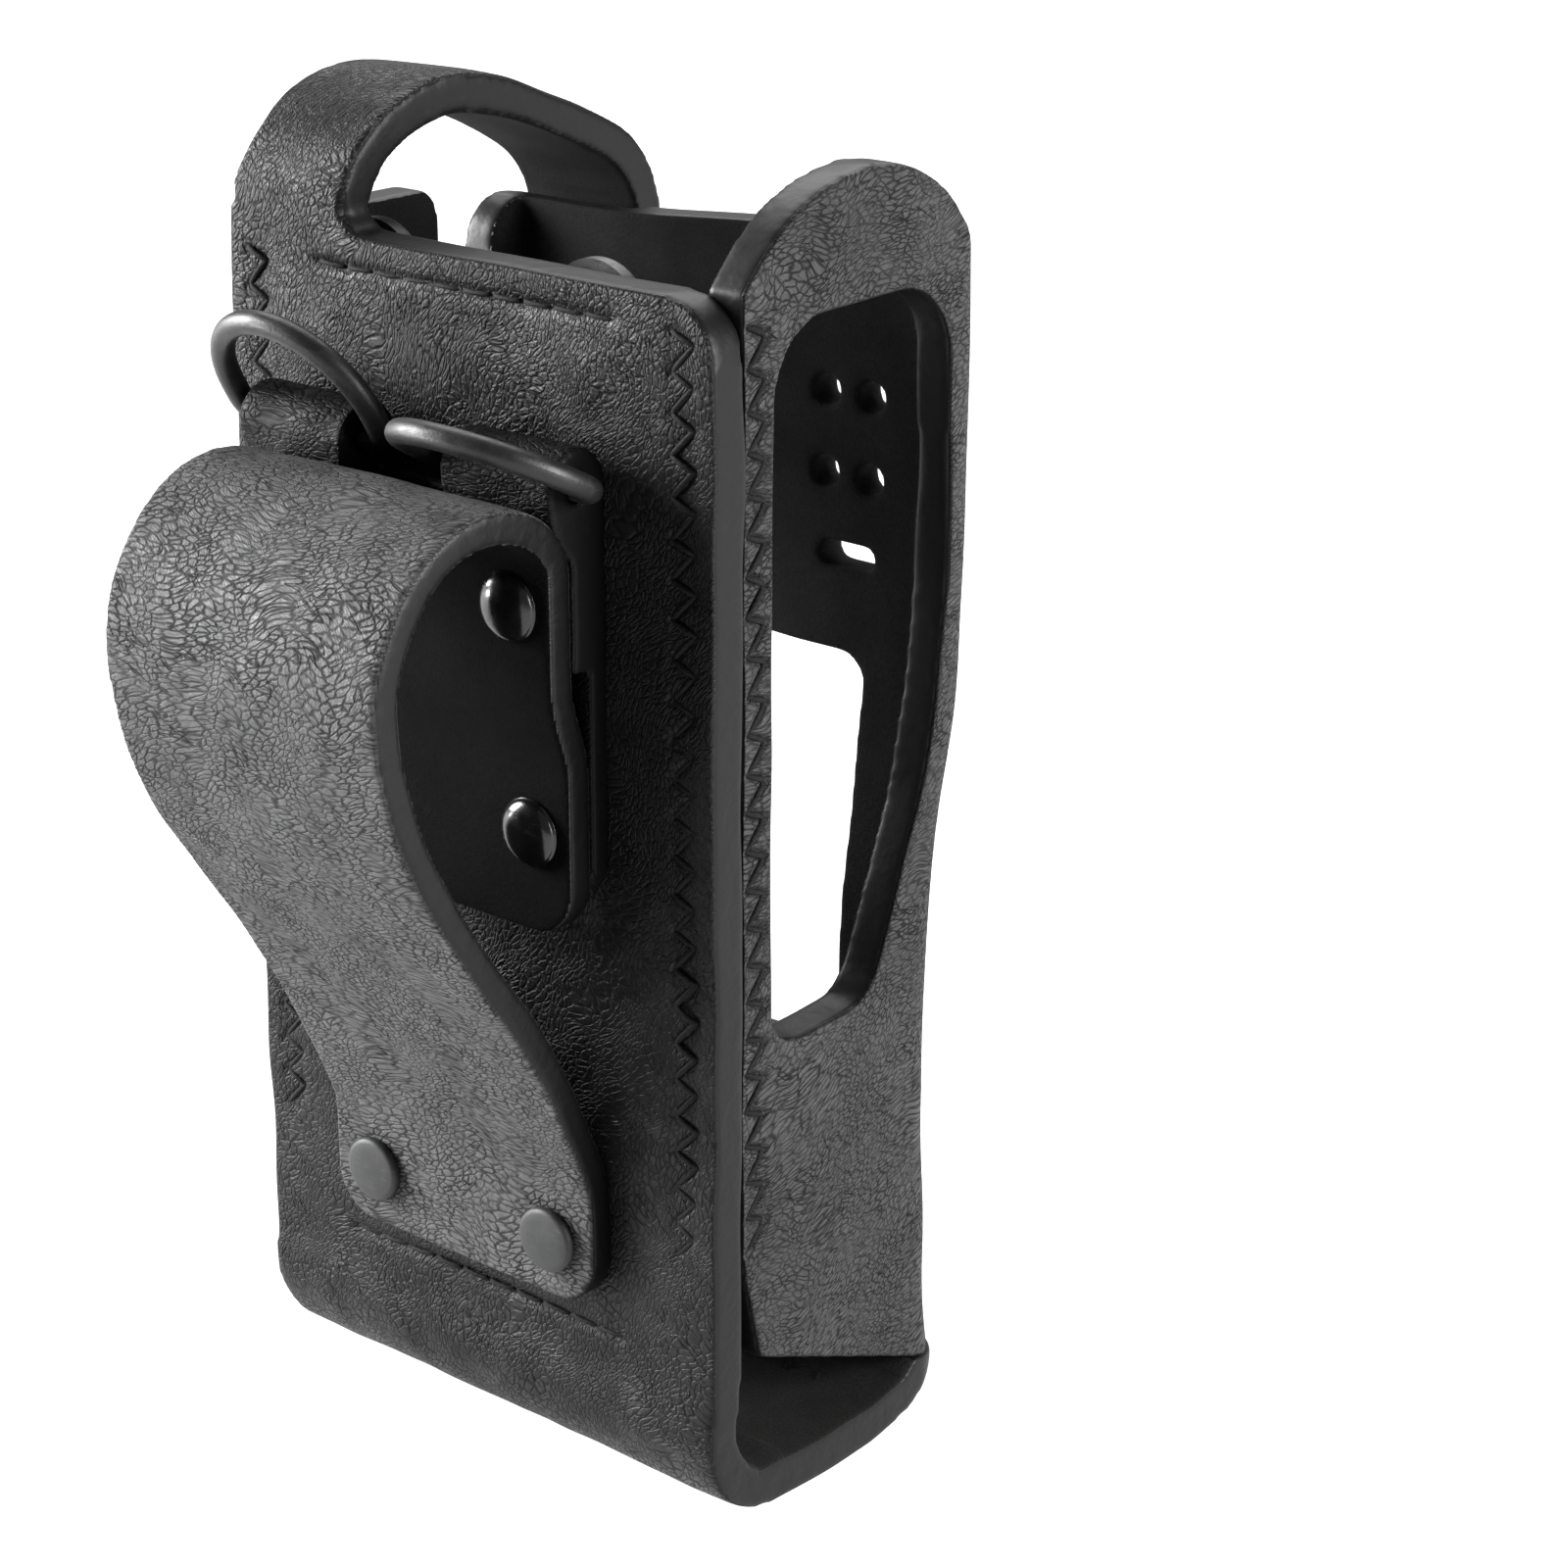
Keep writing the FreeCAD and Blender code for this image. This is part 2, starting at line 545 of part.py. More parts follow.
def make_lower_rivets():
    return Part.makeCompound([flat_rivet(x, z, -LOOP_T, LOWER_HEAD_T) for x, z in LOWER_RIVETS])


def make_washers():
    return Part.makeCompound([rod_y(x, z, WASHER_R, LEATHER - WASHER_T, LEATHER)
                              for x, z in UPPER_RIVETS + LOWER_RIVETS])


# ---- top strap and snap --------------------------------------------------------------------
def strap_curve():
    out, crown = STRAP_OUT, STRAP_CROWN
    points = [yz(1.0, STRAP_ROOT), yz(4.3, crown - 5.3), yz(9.8, crown - 1.7), yz(17.5, crown),
              yz(25.5, crown - 0.9), yz(34.0, crown - 3.6), yz(41.4, crown - 6.8),
              yz(out - 5.8, crown - 10.8), yz(out - 1.5, crown - 16.2), yz(out, crown - 22.6),
              yz(out, STRAP_TAIL)]
    return spline(points, STRAP_LEAN, DOWN)


def hinge_point():
    curve = strap_curve()
    return curve.value(curve.FirstParameter) + to_right(STRAP_LEAN) * (STRAP_T / 2)


def make_strap():
    low, high = STRAP_X
    half = (high - low) / 2
    hinge = hinge_point()
    arch = band(strap_curve(), STRAP_T, low, high, STRAP_LEAN, DOWN)
    knuckle = Part.makeCylinder(STRAP_T / 2, high - low, V(low, hinge.y, hinge.z), V(1, 0, 0))
    tail = rounded([(xz(low, STRAP_TAIL), 0), (xz(high, STRAP_TAIL), 0), (xz(high, STRAP_TIP), half - 0.5),
                    (xz(low, STRAP_TIP), half - 0.5)])
    tail = slab_y(tail, STRAP_OUT - STRAP_T, STRAP_OUT)
    strap = arch.fuse([knuckle, tail]).removeSplitter()
    return strap.cut(rod_y(SNAP_X, SNAP_Z, POST_R, STRAP_OUT - STRAP_T - 1, STRAP_OUT + 1))


def make_snap_cap():
    """Cap on the strap's grain side with its shank through the strap."""
    cap = rod_y(SNAP_X, SNAP_Z, SNAP_CAP_R, STRAP_OUT, STRAP_OUT + SNAP_CAP_T)
    rim = [e for e in cap.Edges if abs(e.BoundBox.YMin - STRAP_OUT - SNAP_CAP_T) < 1e-6
           and e.BoundBox.YLength < 1e-6]
    cap = cap.makeFillet(SNAP_CAP_T * 0.7, rim)
    return cap.fuse(rod_y(SNAP_X, SNAP_Z, POST_R, STRAP_OUT - STRAP_T, STRAP_OUT)).removeSplitter()


def make_snap_socket():
    """Shallow ring on the strap's inner side that drops over the stud."""
    back = STRAP_OUT - STRAP_T
    ring = rod_y(SNAP_X, SNAP_Z, SOCKET_R[1], back - SOCKET_T, back)
    return ring.cut(rod_y(SNAP_X, SNAP_Z, SOCKET_R[0], back - SOCKET_T - 1, back + 1))


def make_snap_stud():
    base = rod_y(SNAP_X, SNAP_Z, STUD_BASE_R, DEPTH_TOP, DEPTH_TOP + STUD_BASE_T)
    stud = rod_y(SNAP_X, SNAP_Z, STUD_R, DEPTH_TOP, DEPTH_TOP + STUD_H)
    rim = [e for e in stud.Edges if abs(e.BoundBox.YMin - DEPTH_TOP - STUD_H) < 1e-6
           and e.BoundBox.YLength < 1e-6]
    return base.fuse(stud.makeFillet(0.5, rim)).removeSplitter()


def make_stud_post():
    inside = DEPTH_TOP - LEATHER
    cap = rod_y(SNAP_X, SNAP_Z, POST_CAP_R, inside - POST_CAP_T, inside)
    return cap.fuse(rod_y(SNAP_X, SNAP_Z, POST_R, inside, DEPTH_TOP)).removeSplitter()


# ---- stitching -----------------------------------------------------------------------------
def zigzag(length, at, raise_to):
    """Zigzag ribbon. at(run, across) gives points on the leather, raise_to the thread's height."""
    turns = int(length / ZIGZAG_PITCH) * 2
    step = length / turns
    half = THREAD_W / 2 * math.hypot(step, ZIGZAG_W) / step
    near, far = [], []
    for i in range(turns + 1):
        across = ZIGZAG_W / 2 if i % 2 else -ZIGZAG_W / 2
        near.append(at(i * step, across - half))
        far.append(at(i * step, across + half))
    outline = near + far[::-1]
    return Part.Face(Part.makePolygon(outline + outline[:1])).extrude(raise_to)


def side_seam(side):
    """One butt seam: a zigzag on the back panel and one on the side wall."""
    low, high = SEAM_Z
    x = side * (HALF_W - ZIGZAG_INSET)
    y = LEATHER + ZIGZAG_WALL
    back = zigzag(high - low, lambda run, across: V(x + across, 0, low + run), V(0, -THREAD_T, 0))
    wall = zigzag(high - low, lambda run, across: V(side * HALF_W, y + across, low + run),
                  V(side * THREAD_T, 0, 0))
    return Part.makeCompound([back, wall])


def make_bottom_seam():
    """Zigzag that holds the bottom flap's edge to the front panel, inside the case."""
    half = BOTTOM_SEAM_HALF
    floor = LEATHER
    y = FOOT_Y[1] - ZIGZAG_W
    return zigzag(2 * half, lambda run, across: V(-half + run, y + across, floor),
                  V(0, 0, THREAD_T))


def make_liner_rows():
    stitches = []
    pitch = LINER_STITCH + LINER_STITCH_GAP
    count = int(2 * LINER_HALF_W / pitch)
    start = -(count * pitch - LINER_STITCH_GAP) / 2
    for z in LINER_ROWS_Z:
        for i in range(count):
            x = start + i * pitch
            stitches.append(box((x, -THREAD_T, z - THREAD_W / 2),
                                (x + LINER_STITCH, 0, z + THREAD_W / 2)))
    return Part.makeCompound(stitches)


def main():
    os.makedirs("parts", exist_ok=True)
    save("back_sheet", make_back_sheet())
    save("front_wrap", make_front_wrap())
    save("liner_patch", make_liner())
    save("liner_discs", make_discs())
    save("liner_stitches", make_liner_rows())
    save("seam_left", side_seam(-1))
    save("seam_right", side_seam(1))
    save("seam_bottom", make_bottom_seam())
    save("belt_loop", make_belt_loop())
    save("loop_rivets_upper", make_upper_rivets())
    save("loop_rivets_lower", make_lower_rivets())
    save("rivet_washers", make_washers())
    save("ring_carrier", make_carrier())
    save("d_ring_left", make_ring(TAB_X[0], RING_TILT[0]))
    save("d_ring_right", make_ring(TAB_X[1], RING_TILT[1]))
    save("top_strap", make_strap())
    save("snap_cap", make_snap_cap())
    save("snap_socket", make_snap_socket())
    save("snap_stud", make_snap_stud())
    save("stud_post", make_stud_post())
    hinge = hinge_point()
    print("strap hinge at y %.2f z %.2f" % (hinge.y - sum(FOOT_Y) / 2, hinge.z))


main()
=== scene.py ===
"""Looks of an open leather radio holster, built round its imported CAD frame.

Blender works in metres. Sizes below are in millimetres, and MM turns them into metres.
Leather pieces start from their CAD node: the copy is remeshed, its cut edges are rounded, and
stitching, puckers and sag are worked into it. Every leather vertex carries two attributes:
"flat", its place in mm on the flat hide and its depth through it, and "zone", which says how
much the vertex belongs to the painted cut edge.
"""

import json
import math

import bmesh
import bpy
import numpy as np
from mathutils import Matrix, Vector


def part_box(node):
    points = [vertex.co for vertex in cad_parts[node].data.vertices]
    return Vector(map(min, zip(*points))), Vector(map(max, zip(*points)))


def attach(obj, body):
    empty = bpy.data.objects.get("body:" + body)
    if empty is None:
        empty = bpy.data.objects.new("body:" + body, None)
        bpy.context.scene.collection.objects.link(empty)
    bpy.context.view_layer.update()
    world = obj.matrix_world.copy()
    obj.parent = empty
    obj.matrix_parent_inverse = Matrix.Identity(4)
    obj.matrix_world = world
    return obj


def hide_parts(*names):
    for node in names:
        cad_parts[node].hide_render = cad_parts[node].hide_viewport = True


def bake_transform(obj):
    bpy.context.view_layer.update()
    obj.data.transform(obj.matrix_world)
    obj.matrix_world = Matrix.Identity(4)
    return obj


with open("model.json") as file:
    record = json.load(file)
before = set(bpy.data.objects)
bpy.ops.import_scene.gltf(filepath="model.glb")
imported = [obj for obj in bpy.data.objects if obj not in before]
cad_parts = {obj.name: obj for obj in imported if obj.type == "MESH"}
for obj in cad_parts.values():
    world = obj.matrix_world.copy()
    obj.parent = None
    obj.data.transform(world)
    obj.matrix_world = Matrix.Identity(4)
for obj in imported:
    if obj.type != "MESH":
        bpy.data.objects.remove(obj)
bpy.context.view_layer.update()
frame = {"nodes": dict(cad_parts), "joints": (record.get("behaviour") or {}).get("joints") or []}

MM = 0.001
LEATHER = 5.0             # case leather with its suede lining
STRAP_T = 4.5             # top strap
DEPTH = 48.3              # outer depth of the case at the top
HALF_W = 36.0             # half its outer width
BEND_R = 6.0              # upright front corners, and the toe flap's corners
ZIGZAG_TURNS = 24         # along a side seam
ZIGZAG_W = 3.0
ZIGZAG_SKEW = 0.95        # how much higher the outer turns sit than halfway up
SEAM_Z = (36.0, 143.0)    # lower and upper end of the side seams
ZIGZAG_PITCH = (SEAM_Z[1] - SEAM_Z[0]) / ZIGZAG_TURNS
SEAM_REACH = 2.8          # finer faces this far on both sides of a zigzag's middle line
SEAM_ENDS = 2.0           # and this far past its ends
BACK_SEAM_X = 31.5
WALL_SEAM_Y = 7.5
BOTTOM_SEAM_Y = 32.0
BOTTOM_SEAM_HALF = 27.0   # half the bottom seam's length
LINER_ROWS_Z = (22.6, 142.8)
LINER_ROW_HALF = 21.3     # half the length of a row
LINER_STITCH = 3.4
LINER_STITCH_GAP = 1.0
THREAD_R = 0.34
BAR = (-4.3, 125.5)       # the rings' bars, y and z
LOOP_T = 3.6
TAB_X = (-18.0, 13.0)     # middles of the two folded tabs
TAB_W = 16.0
RIVET_R = 4.0
UPPER_RIVETS = ((-15.0, 112.5, -8.8), (15.0, 112.5, -8.8),      # x, z and y of each cap
                (-15.0, 86.0, -6.2), (15.0, 86.0, -6.2))
LOWER_RIVETS = ((-14.0, 34.5), (14.0, 34.5))                    # x and z
SNAP_CAP_T = 1.6
SOUND_HOLES = (11.0, 28.0, 104.0, 130.0)   # x and z range of the holes in the front panel
STRAP_INNER_X = -18.0     # the strap's faces are trued up left of this, inside its right edge
TOE_CORNER_Y = 39.5       # the toe flap's corners are rounded from here on
TOE_TOP = 12.0            # above the flap's highest point
ARCH_NARROWING = 1.6      # how far the strap's left edge is drawn in over its arch
CORNER_DROOP = 2.4        # how far the front panel's left corner hangs down

# The row's origin is under the middle of the foot; y below is measured from the back's outer face.
BACK_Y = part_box("liner_patch")[0].y / MM - LEATHER


def to_row(points):
    """Millimetres, y from the back's outer face, to metres in the row frame."""
    return (np.asarray(points, float) + [0, BACK_Y, 0]) * MM


def from_row(points):
    return np.asarray(points, float) / MM - [0, BACK_Y, 0]


# ---- curves in a plane ---------------------------------------------------------------------
class Profile:
    """A smooth line through points of a plane: how far along it, and off it, other points lie."""

    STEPS = 8         # straight pieces between two points
    CHUNK = 20000     # points located at a time, to save memory

    def __init__(self, points):
        p = np.asarray(points, float)
        p = np.vstack([2 * p[0] - p[1], p, 2 * p[-1] - p[-2]])
        t = np.linspace(0, 1, self.STEPS, endpoint=False)[:, None]
        runs = []
        for a, b, c, d in zip(p, p[1:], p[2:], p[3:]):
            runs.append(0.5 * (2 * b + (c - a) * t + (2 * a - 5 * b + 4 * c - d) * t ** 2
                               + (3 * b - a - 3 * c + d) * t ** 3))
        self.line = np.vstack(runs + [p[-2][None]])
        self.step = np.diff(self.line, axis=0)
        self.length = np.linalg.norm(self.step, axis=1)
        self.along = np.concatenate([[0], np.cumsum(self.length)])

    def locate(self, points):
        """(distance along, distance to the left, unit normal to the left) of each point."""
        along, off = np.empty(len(points)), np.empty(len(points))
        normal = np.empty((len(points), 2))
        unit = self.step / self.length[:, None]
        left = np.stack([-unit[:, 1], unit[:, 0]], 1)
        for at in range(0, len(points), self.CHUNK):
            q = points[at:at + self.CHUNK]
            rel = q[:, None] - self.line[None, :-1]
            t = np.clip((rel * unit).sum(2), 0, self.length)
            gap = rel - t[..., None] * unit
            best = (gap ** 2).sum(2).argmin(1)
            row = np.arange(len(q))
            along[at:at + len(q)] = self.along[best] + t[row, best]
            off[at:at + len(q)] = (rel[row, best] * left[best]).sum(1)
            normal[at:at + len(q)] = left[best]
        return along, off, normal


# Outer faces in section: the back sheet and strap (y, z), the belt loop (y, z), and the front
# wrap from above (x, y). STRAP_LEAVES is the point of BACK_LINE where the strap leaves the back.
BACK_LINE = [(43.5, 8.5), (41.5, 3.6), (35, 0), (10, 0), (4.3, 2.2), (0.6, 6.8), (-0.8, 13.2),
             (0, 20), (0, 60), (0, 100), (0, 140), (0.2, 149), (1.0, 151.5), (4.3, 156.3),
             (9.8, 159.9), (17.5, 161.6), (25.5, 160.7), (34, 158.0), (41.4, 154.8),
             (48.8, 150.8), (53.1, 145.4), (54.6, 139.0), (54.6, 132.5), (54.6, 110)]
STRAP_LEAVES = 12
LOOP_LINE = [(-2.6, 73), (-2.6, 92), (-3.9, 98.7), (-5.2, 105.5), (-5.2, 117), (-6.6, 120.6),
             (-9.6, 123.4), (-13.4, 125), (-18, 125.6), (-24.4, 123.9), (-30.2, 118.9),
             (-33.9, 111), (-34.3, 103.5), (-31.7, 93), (-27.3, 84), (-21.5, 74.6),
             (-14.6, 64), (-8.6, 54), (-4.9, 46), (-3.6, 40), (-3.6, 26)]
FRONT_DEPTH = ((7, 45), (36, 43.1), (48, 42.6), (75, 44.3), (87, 46.1), (110, 48.3))  # z, depth
BEND_INSET = BEND_R * (1 - math.sqrt(0.5))     # of the middle of a bend from the square corner
WRAP_LINE = [(-HALF_W, 0), (-HALF_W, 20), (-HALF_W, DEPTH - BEND_R),
             (-HALF_W + BEND_INSET, DEPTH - BEND_INSET), (-HALF_W + BEND_R, DEPTH), (0, DEPTH),
             (HALF_W - BEND_R, DEPTH), (HALF_W - BEND_INSET, DEPTH - BEND_INSET),
             (HALF_W, DEPTH - BEND_R), (HALF_W, 20), (HALF_W, 0)]


# ---- meshes --------------------------------------------------------------------------------
def new_object(name, data):
    obj = bpy.data.objects.new(name, data)
    bpy.context.scene.collection.objects.link(obj)
    return obj


def smooth_mesh(name, bm):
    """The mesh of bm, which is freed, with its faces outwards and shaded smooth."""
    bmesh.ops.recalc_face_normals(bm, faces=bm.faces[:])
    mesh = bpy.data.meshes.new(name)
    bm.to_mesh(mesh)
    bm.free()
    shade_smooth(mesh)
    return mesh


def shade_smooth(mesh):
    mesh.polygons.foreach_set("use_smooth", np.ones(len(mesh.polygons), bool))


def evaluated_mesh(obj):
    """The object's mesh with its modifiers applied; the object itself is removed."""
    bpy.context.view_layer.update()
    graph = bpy.context.evaluated_depsgraph_get()
    mesh = bpy.data.meshes.new_from_object(obj.evaluated_get(graph))
    bpy.data.objects.remove(obj)
    return mesh


def soften(nodes, voxel, rounds, filler=None):
    """One soft mesh from CAD nodes: remeshed to small quads, then smoothed to round its edges."""
    bm = bmesh.new()
    for node in nodes:
        bm.from_mesh(frame["nodes"][node].data)
    if filler:
        filler(bm)
    mesh = bpy.data.meshes.new("soft")
    bm.to_mesh(mesh)
    bm.free()
    obj = new_object("soft", mesh)
    remesh = obj.modifiers.new("remesh", "REMESH")
    remesh.mode, remesh.voxel_size = "VOXEL", voxel * MM
    smooth = obj.modifiers.new("smooth", "SMOOTH")
    smooth.factor, smooth.iterations = 0.5, rounds
    return evaluated_mesh(obj)


def refine(mesh, near):
    """Splits in four the faces for whose middles near is true."""
    bm = bmesh.new()
    bm.from_mesh(mesh)
    middles = from_row([f.calc_center_median() for f in bm.faces])
    chosen = near(middles)
    edges = {e for f, hit in zip(bm.faces, chosen) if hit for e in f.edges}
    bmesh.ops.subdivide_edges(bm, edges=list(edges), cuts=1, use_grid_fill=True)
    bm.to_mesh(mesh)
    bm.free()


def beside_seam(across, z):
    """Which points lie along a side seam, by their distance from its middle line."""
    low, high = SEAM_Z
    return (np.abs(across) < SEAM_REACH) & (z > low - SEAM_ENDS) & (z < high + SEAM_ENDS)


def get_points(mesh):
    co = np.empty(len(mesh.vertices) * 3, np.float32)
    mesh.vertices.foreach_get("co", co)
    return from_row(co.reshape(-1, 3))


def get_normals(mesh):
    normals = np.empty(len(mesh.vertices) * 3, np.float32)
    mesh.vertex_normals.foreach_get("vector", normals)
    return normals.reshape(-1, 3).astype(float)


def set_points(mesh, points):
    mesh.vertices.foreach_set("co", to_row(points).astype(np.float32).ravel())
    mesh.update()


def set_vector(mesh, name, values):
    attribute = mesh.attributes.new(name, "FLOAT_VECTOR", "POINT")
    attribute.data.foreach_set("vector", np.ascontiguousarray(values, np.float32).ravel())


def waves(points, length, seed, stretch=(1, 1, 1)):
    """Smooth random height from -1 to 1 that changes over about length mm."""
    rng = np.random.default_rng(seed)
    total = np.zeros(len(points))
    count = 14
    for _ in range(count):
        direction = rng.normal(size=3)
        direction *= 2 * math.pi / (np.linalg.norm(direction) * length * rng.uniform(0.7, 1.5))
        total += np.sin(points @ (direction / stretch) + rng.uniform(0, 2 * math.pi))
    return total / math.sqrt(count * 2)


def smoothstep(low, high, value):
    t = np.clip((value - low) / (high - low), 0, 1)
    return t * t * (3 - 2 * t)


EDGE_FACING = (0.55, 0.93)     # how squarely a face looks in or out: cut edge, and plain side
RAW_FACING = 0.75              # less than this is bare fibre at a raw edge
SUEDE_FACING = -0.62           # less than this is the lining


def finish_leather(mesh, outward, flat, raw=None):
    """Sets the attributes and gives the faces that look inwards the suede slot.

    raw marks points whose cut edges are bare fibres instead of painted."""
    facing = (get_normals(mesh) * outward).sum(1)
    edge = 1 - smoothstep(*EDGE_FACING, np.abs(facing))
    if raw is not None:
        edge = np.where(raw, 0, edge)
        facing = np.where(raw & (facing < RAW_FACING), -1.0, facing)
    set_vector(mesh, "flat", flat)
    set_vector(mesh, "zone", np.stack([edge, facing * 0.5 + 0.5, np.zeros(len(edge))], 1))
    corners = np.empty(len(mesh.loops), np.int32)
    mesh.loops.foreach_get("vertex_index", corners)
    starts = np.empty(len(mesh.polygons), np.int32)
    mesh.polygons.foreach_get("loop_start", starts)
    mean = np.add.reduceat(facing[corners], starts) / np.diff(np.append(starts, len(corners)))
    mesh.polygons.foreach_set("material_index", (mean < SUEDE_FACING).astype(np.int32))
    shade_smooth(mesh)
    mesh.update()


def piece(name, mesh, body, materials, nodes=()):
    for material in materials:
        mesh.materials.append(material)
    mesh.name = name
    obj = new_object(name, mesh)
    if body:
        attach(obj, body)
    if nodes:
        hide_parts(*nodes)
    return obj


# ---- stitches ------------------------------------------------------------------------------
def zigzag_gap(across, along):
    """Distance from the middle line of a zigzag's thread, which turns ZIGZAG_W apart."""
    half = ZIGZAG_PITCH / 2
    upright = along - ZIGZAG_SKEW * (across / ZIGZAG_W + 0.5)
    turn = 1 - np.abs((upright / half) % 2 - 1)
    lean = math.hypot(half, ZIGZAG_W)
    return np.abs(across - (turn - 0.5) * ZIGZAG_W) * half / lean


def seam_dip(across, along, low, high):
    """How far stitches pull the leather in, 0 to 1, along a zigzag seam."""
    inside = smoothstep(low - 1.5, low + 0.5, along)
    inside = inside * (1 - smoothstep(high - 0.5, high + 1.5, along))
    band = np.exp(-(np.abs(across) / 2.1) ** 6)
    groove = np.exp(-(zigzag_gap(across, along - low) / 0.5) ** 2)
    return inside * band * (0.2 + 0.8 * groove)


def stitch(bm, start, end, up, radius=THREAD_R, proud=0.3):
    """One stitch: thread that comes out of a hole, lies on the leather and dives back in."""
    start, end, up = Vector(start), Vector(end), Vector(up).normalized()
    run = end - start
    side = up.cross(run).normalized()
    heights = ((-0.03, -1.0), (0.0, -0.45), (0.06, 0.0), (0.2, 0.75), (0.5, 1.0), (0.8, 0.75),
               (0.94, 0.0), (1.0, -0.45), (1.03, -1.0))
    path = [start + run * t + up * (h * proud - radius * 0.4) for t, h in heights]
    rings = []
    sides = 8
    for i, p in enumerate(path):
        tangent = (path[min(i + 1, len(path) - 1)] - path[max(i - 1, 0)]).normalized()
        normal = tangent.cross(side).normalized() * -1
        ring = []
        for j in range(sides):
            angle = 2 * math.pi * j / sides
            offset = side * math.cos(angle) + normal * math.sin(angle)
            ring.append(bm.verts.new(to_row(p + offset * radius)))
        rings.append(ring)
    for a, b in zip(rings, rings[1:]):
        for j in range(sides):
            bm.faces.new((a[j], a[(j + 1) % sides], b[(j + 1) % sides], b[j]))
    bm.faces.new(rings[0][::-1])
    bm.faces.new(rings[-1])


def zigzag_stitches(bm, length, at, up, seed):
    """Stitches of one zigzag seam. at(along, across) is a point on the leather."""
    rng = np.random.default_rng(seed)
    step = ZIGZAG_PITCH / 2
    turns = int(length / step + 0.5)
    points = [at(i * step + (ZIGZAG_SKEW if i % 2 else 0.0) + rng.uniform(-0.12, 0.12),
                 (1 if i % 2 else -1) * (ZIGZAG_W / 2 + rng.uniform(-0.15, 0.15)))
              for i in range(turns + 1)]
    for a, b in zip(points, points[1:]):
        stitch(bm, a, b, up)


def thread_piece(name, fill, nodes, material):
    bm = bmesh.new()
    fill(bm)
    return piece(name, smooth_mesh(name, bm), "case", [material], nodes)


# ---- materials -----------------------------------------------------------------------------
class Shade:
    """Builds one material's nodes."""

    def __init__(self, name):
        self.material = bpy.data.materials.new(name)
        self.material.use_nodes = True
        self.tree = self.material.node_tree
        self.shader = self.tree.nodes["Principled BSDF"]

    def node(self, kind, output=0, inputs=(), **settings):
        """Adds a node and returns one of its outputs. inputs are (socket, value or output)."""
        node = self.tree.nodes.new("ShaderNode" + kind)
        for name, value in settings.items():
            setattr(node, name, value)
        for name, value in inputs:
            self.feed(node.inputs[name], value)
        return node.outputs[output]

    def feed(self, socket, value):
        if isinstance(value, bpy.types.NodeSocket):
            self.tree.links.new(value, socket)
        else:
            socket.default_value = value

    def math(self, operation, a, b=0.0):
        return self.node("Math", inputs=((0, a), (1, b)), operation=operation)

    def vector(self, operation, a, b):
        return self.node("VectorMath", inputs=((0, a), (1, b)), operation=operation)

    def step(self, value, low, high, to_low=0.0, to_high=1.0):
        ranges = (("Value", value), ("From Min", low), ("From Max", high),
                  ("To Min", to_low), ("To Max", to_high))
        return self.node("MapRange", inputs=ranges, interpolation_type="SMOOTHSTEP")

    def blend(self, factor, a, b):
        """Float mix."""
        return self.node("Mix", inputs=((0, factor), (2, a), (3, b)), data_type="FLOAT")

    def grey(self, value, tint=(1.0, 1.0, 1.0)):
        """A number as a slightly tinted grey."""
        return self.node("VectorMath", inputs=((0, tint), ("Scale", value)), operation="SCALE")

    def noise(self, at, scale, detail=3.0, roughness=0.55):
        return self.node("TexNoise", "Fac", (("Vector", at), ("Scale", scale), ("Detail", detail),
                                             ("Roughness", roughness)), noise_dimensions="3D")

    def attribute(self, name):
        return self.node("Attribute", "Vector", attribute_name=name)

    def crackle(self, at, cell, line, warp, seed):
        """Cells parted by creases: 1 on a cell, 0 in a crease. cell is (width, height) in mm,
        line the width of a crease and warp how crooked it runs, both as shares of a cell."""
        scaled = self.vector("MULTIPLY", at, (1 / cell[0], 1 / cell[1], 0.0))
        moved = self.vector("ADD", scaled, (seed, seed * 0.7, 0.0))
        wobble = self.node("TexNoise", "Color",
                           (("Vector", moved), ("Scale", 1.1), ("Detail", 2.0)))
        wobble = self.vector("SUBTRACT", wobble, (0.5, 0.5, 0.5))
        wobble = self.vector("MULTIPLY", wobble, (warp * 2, warp * 2, 0.0))
        moved = self.vector("ADD", moved, wobble)
        gap = self.node("TexVoronoi", "Distance", (("Vector", moved), ("Scale", 1.0)),
                        feature="DISTANCE_TO_EDGE", voronoi_dimensions="2D")
        return self.step(gap, 0.0, line)

    def bump(self, height, distance):
        """distance in mm for a height of 1."""
        normal = self.node("Bump", "Normal", (("Height", height), ("Distance", distance * MM),
                                              ("Strength", 1.0)))
        self.feed(self.shader.inputs["Normal"], normal)

    def set(self, **values):
        for name, value in values.items():
            self.feed(self.shader.inputs[name.replace("_", " ")], value)
        return self.material


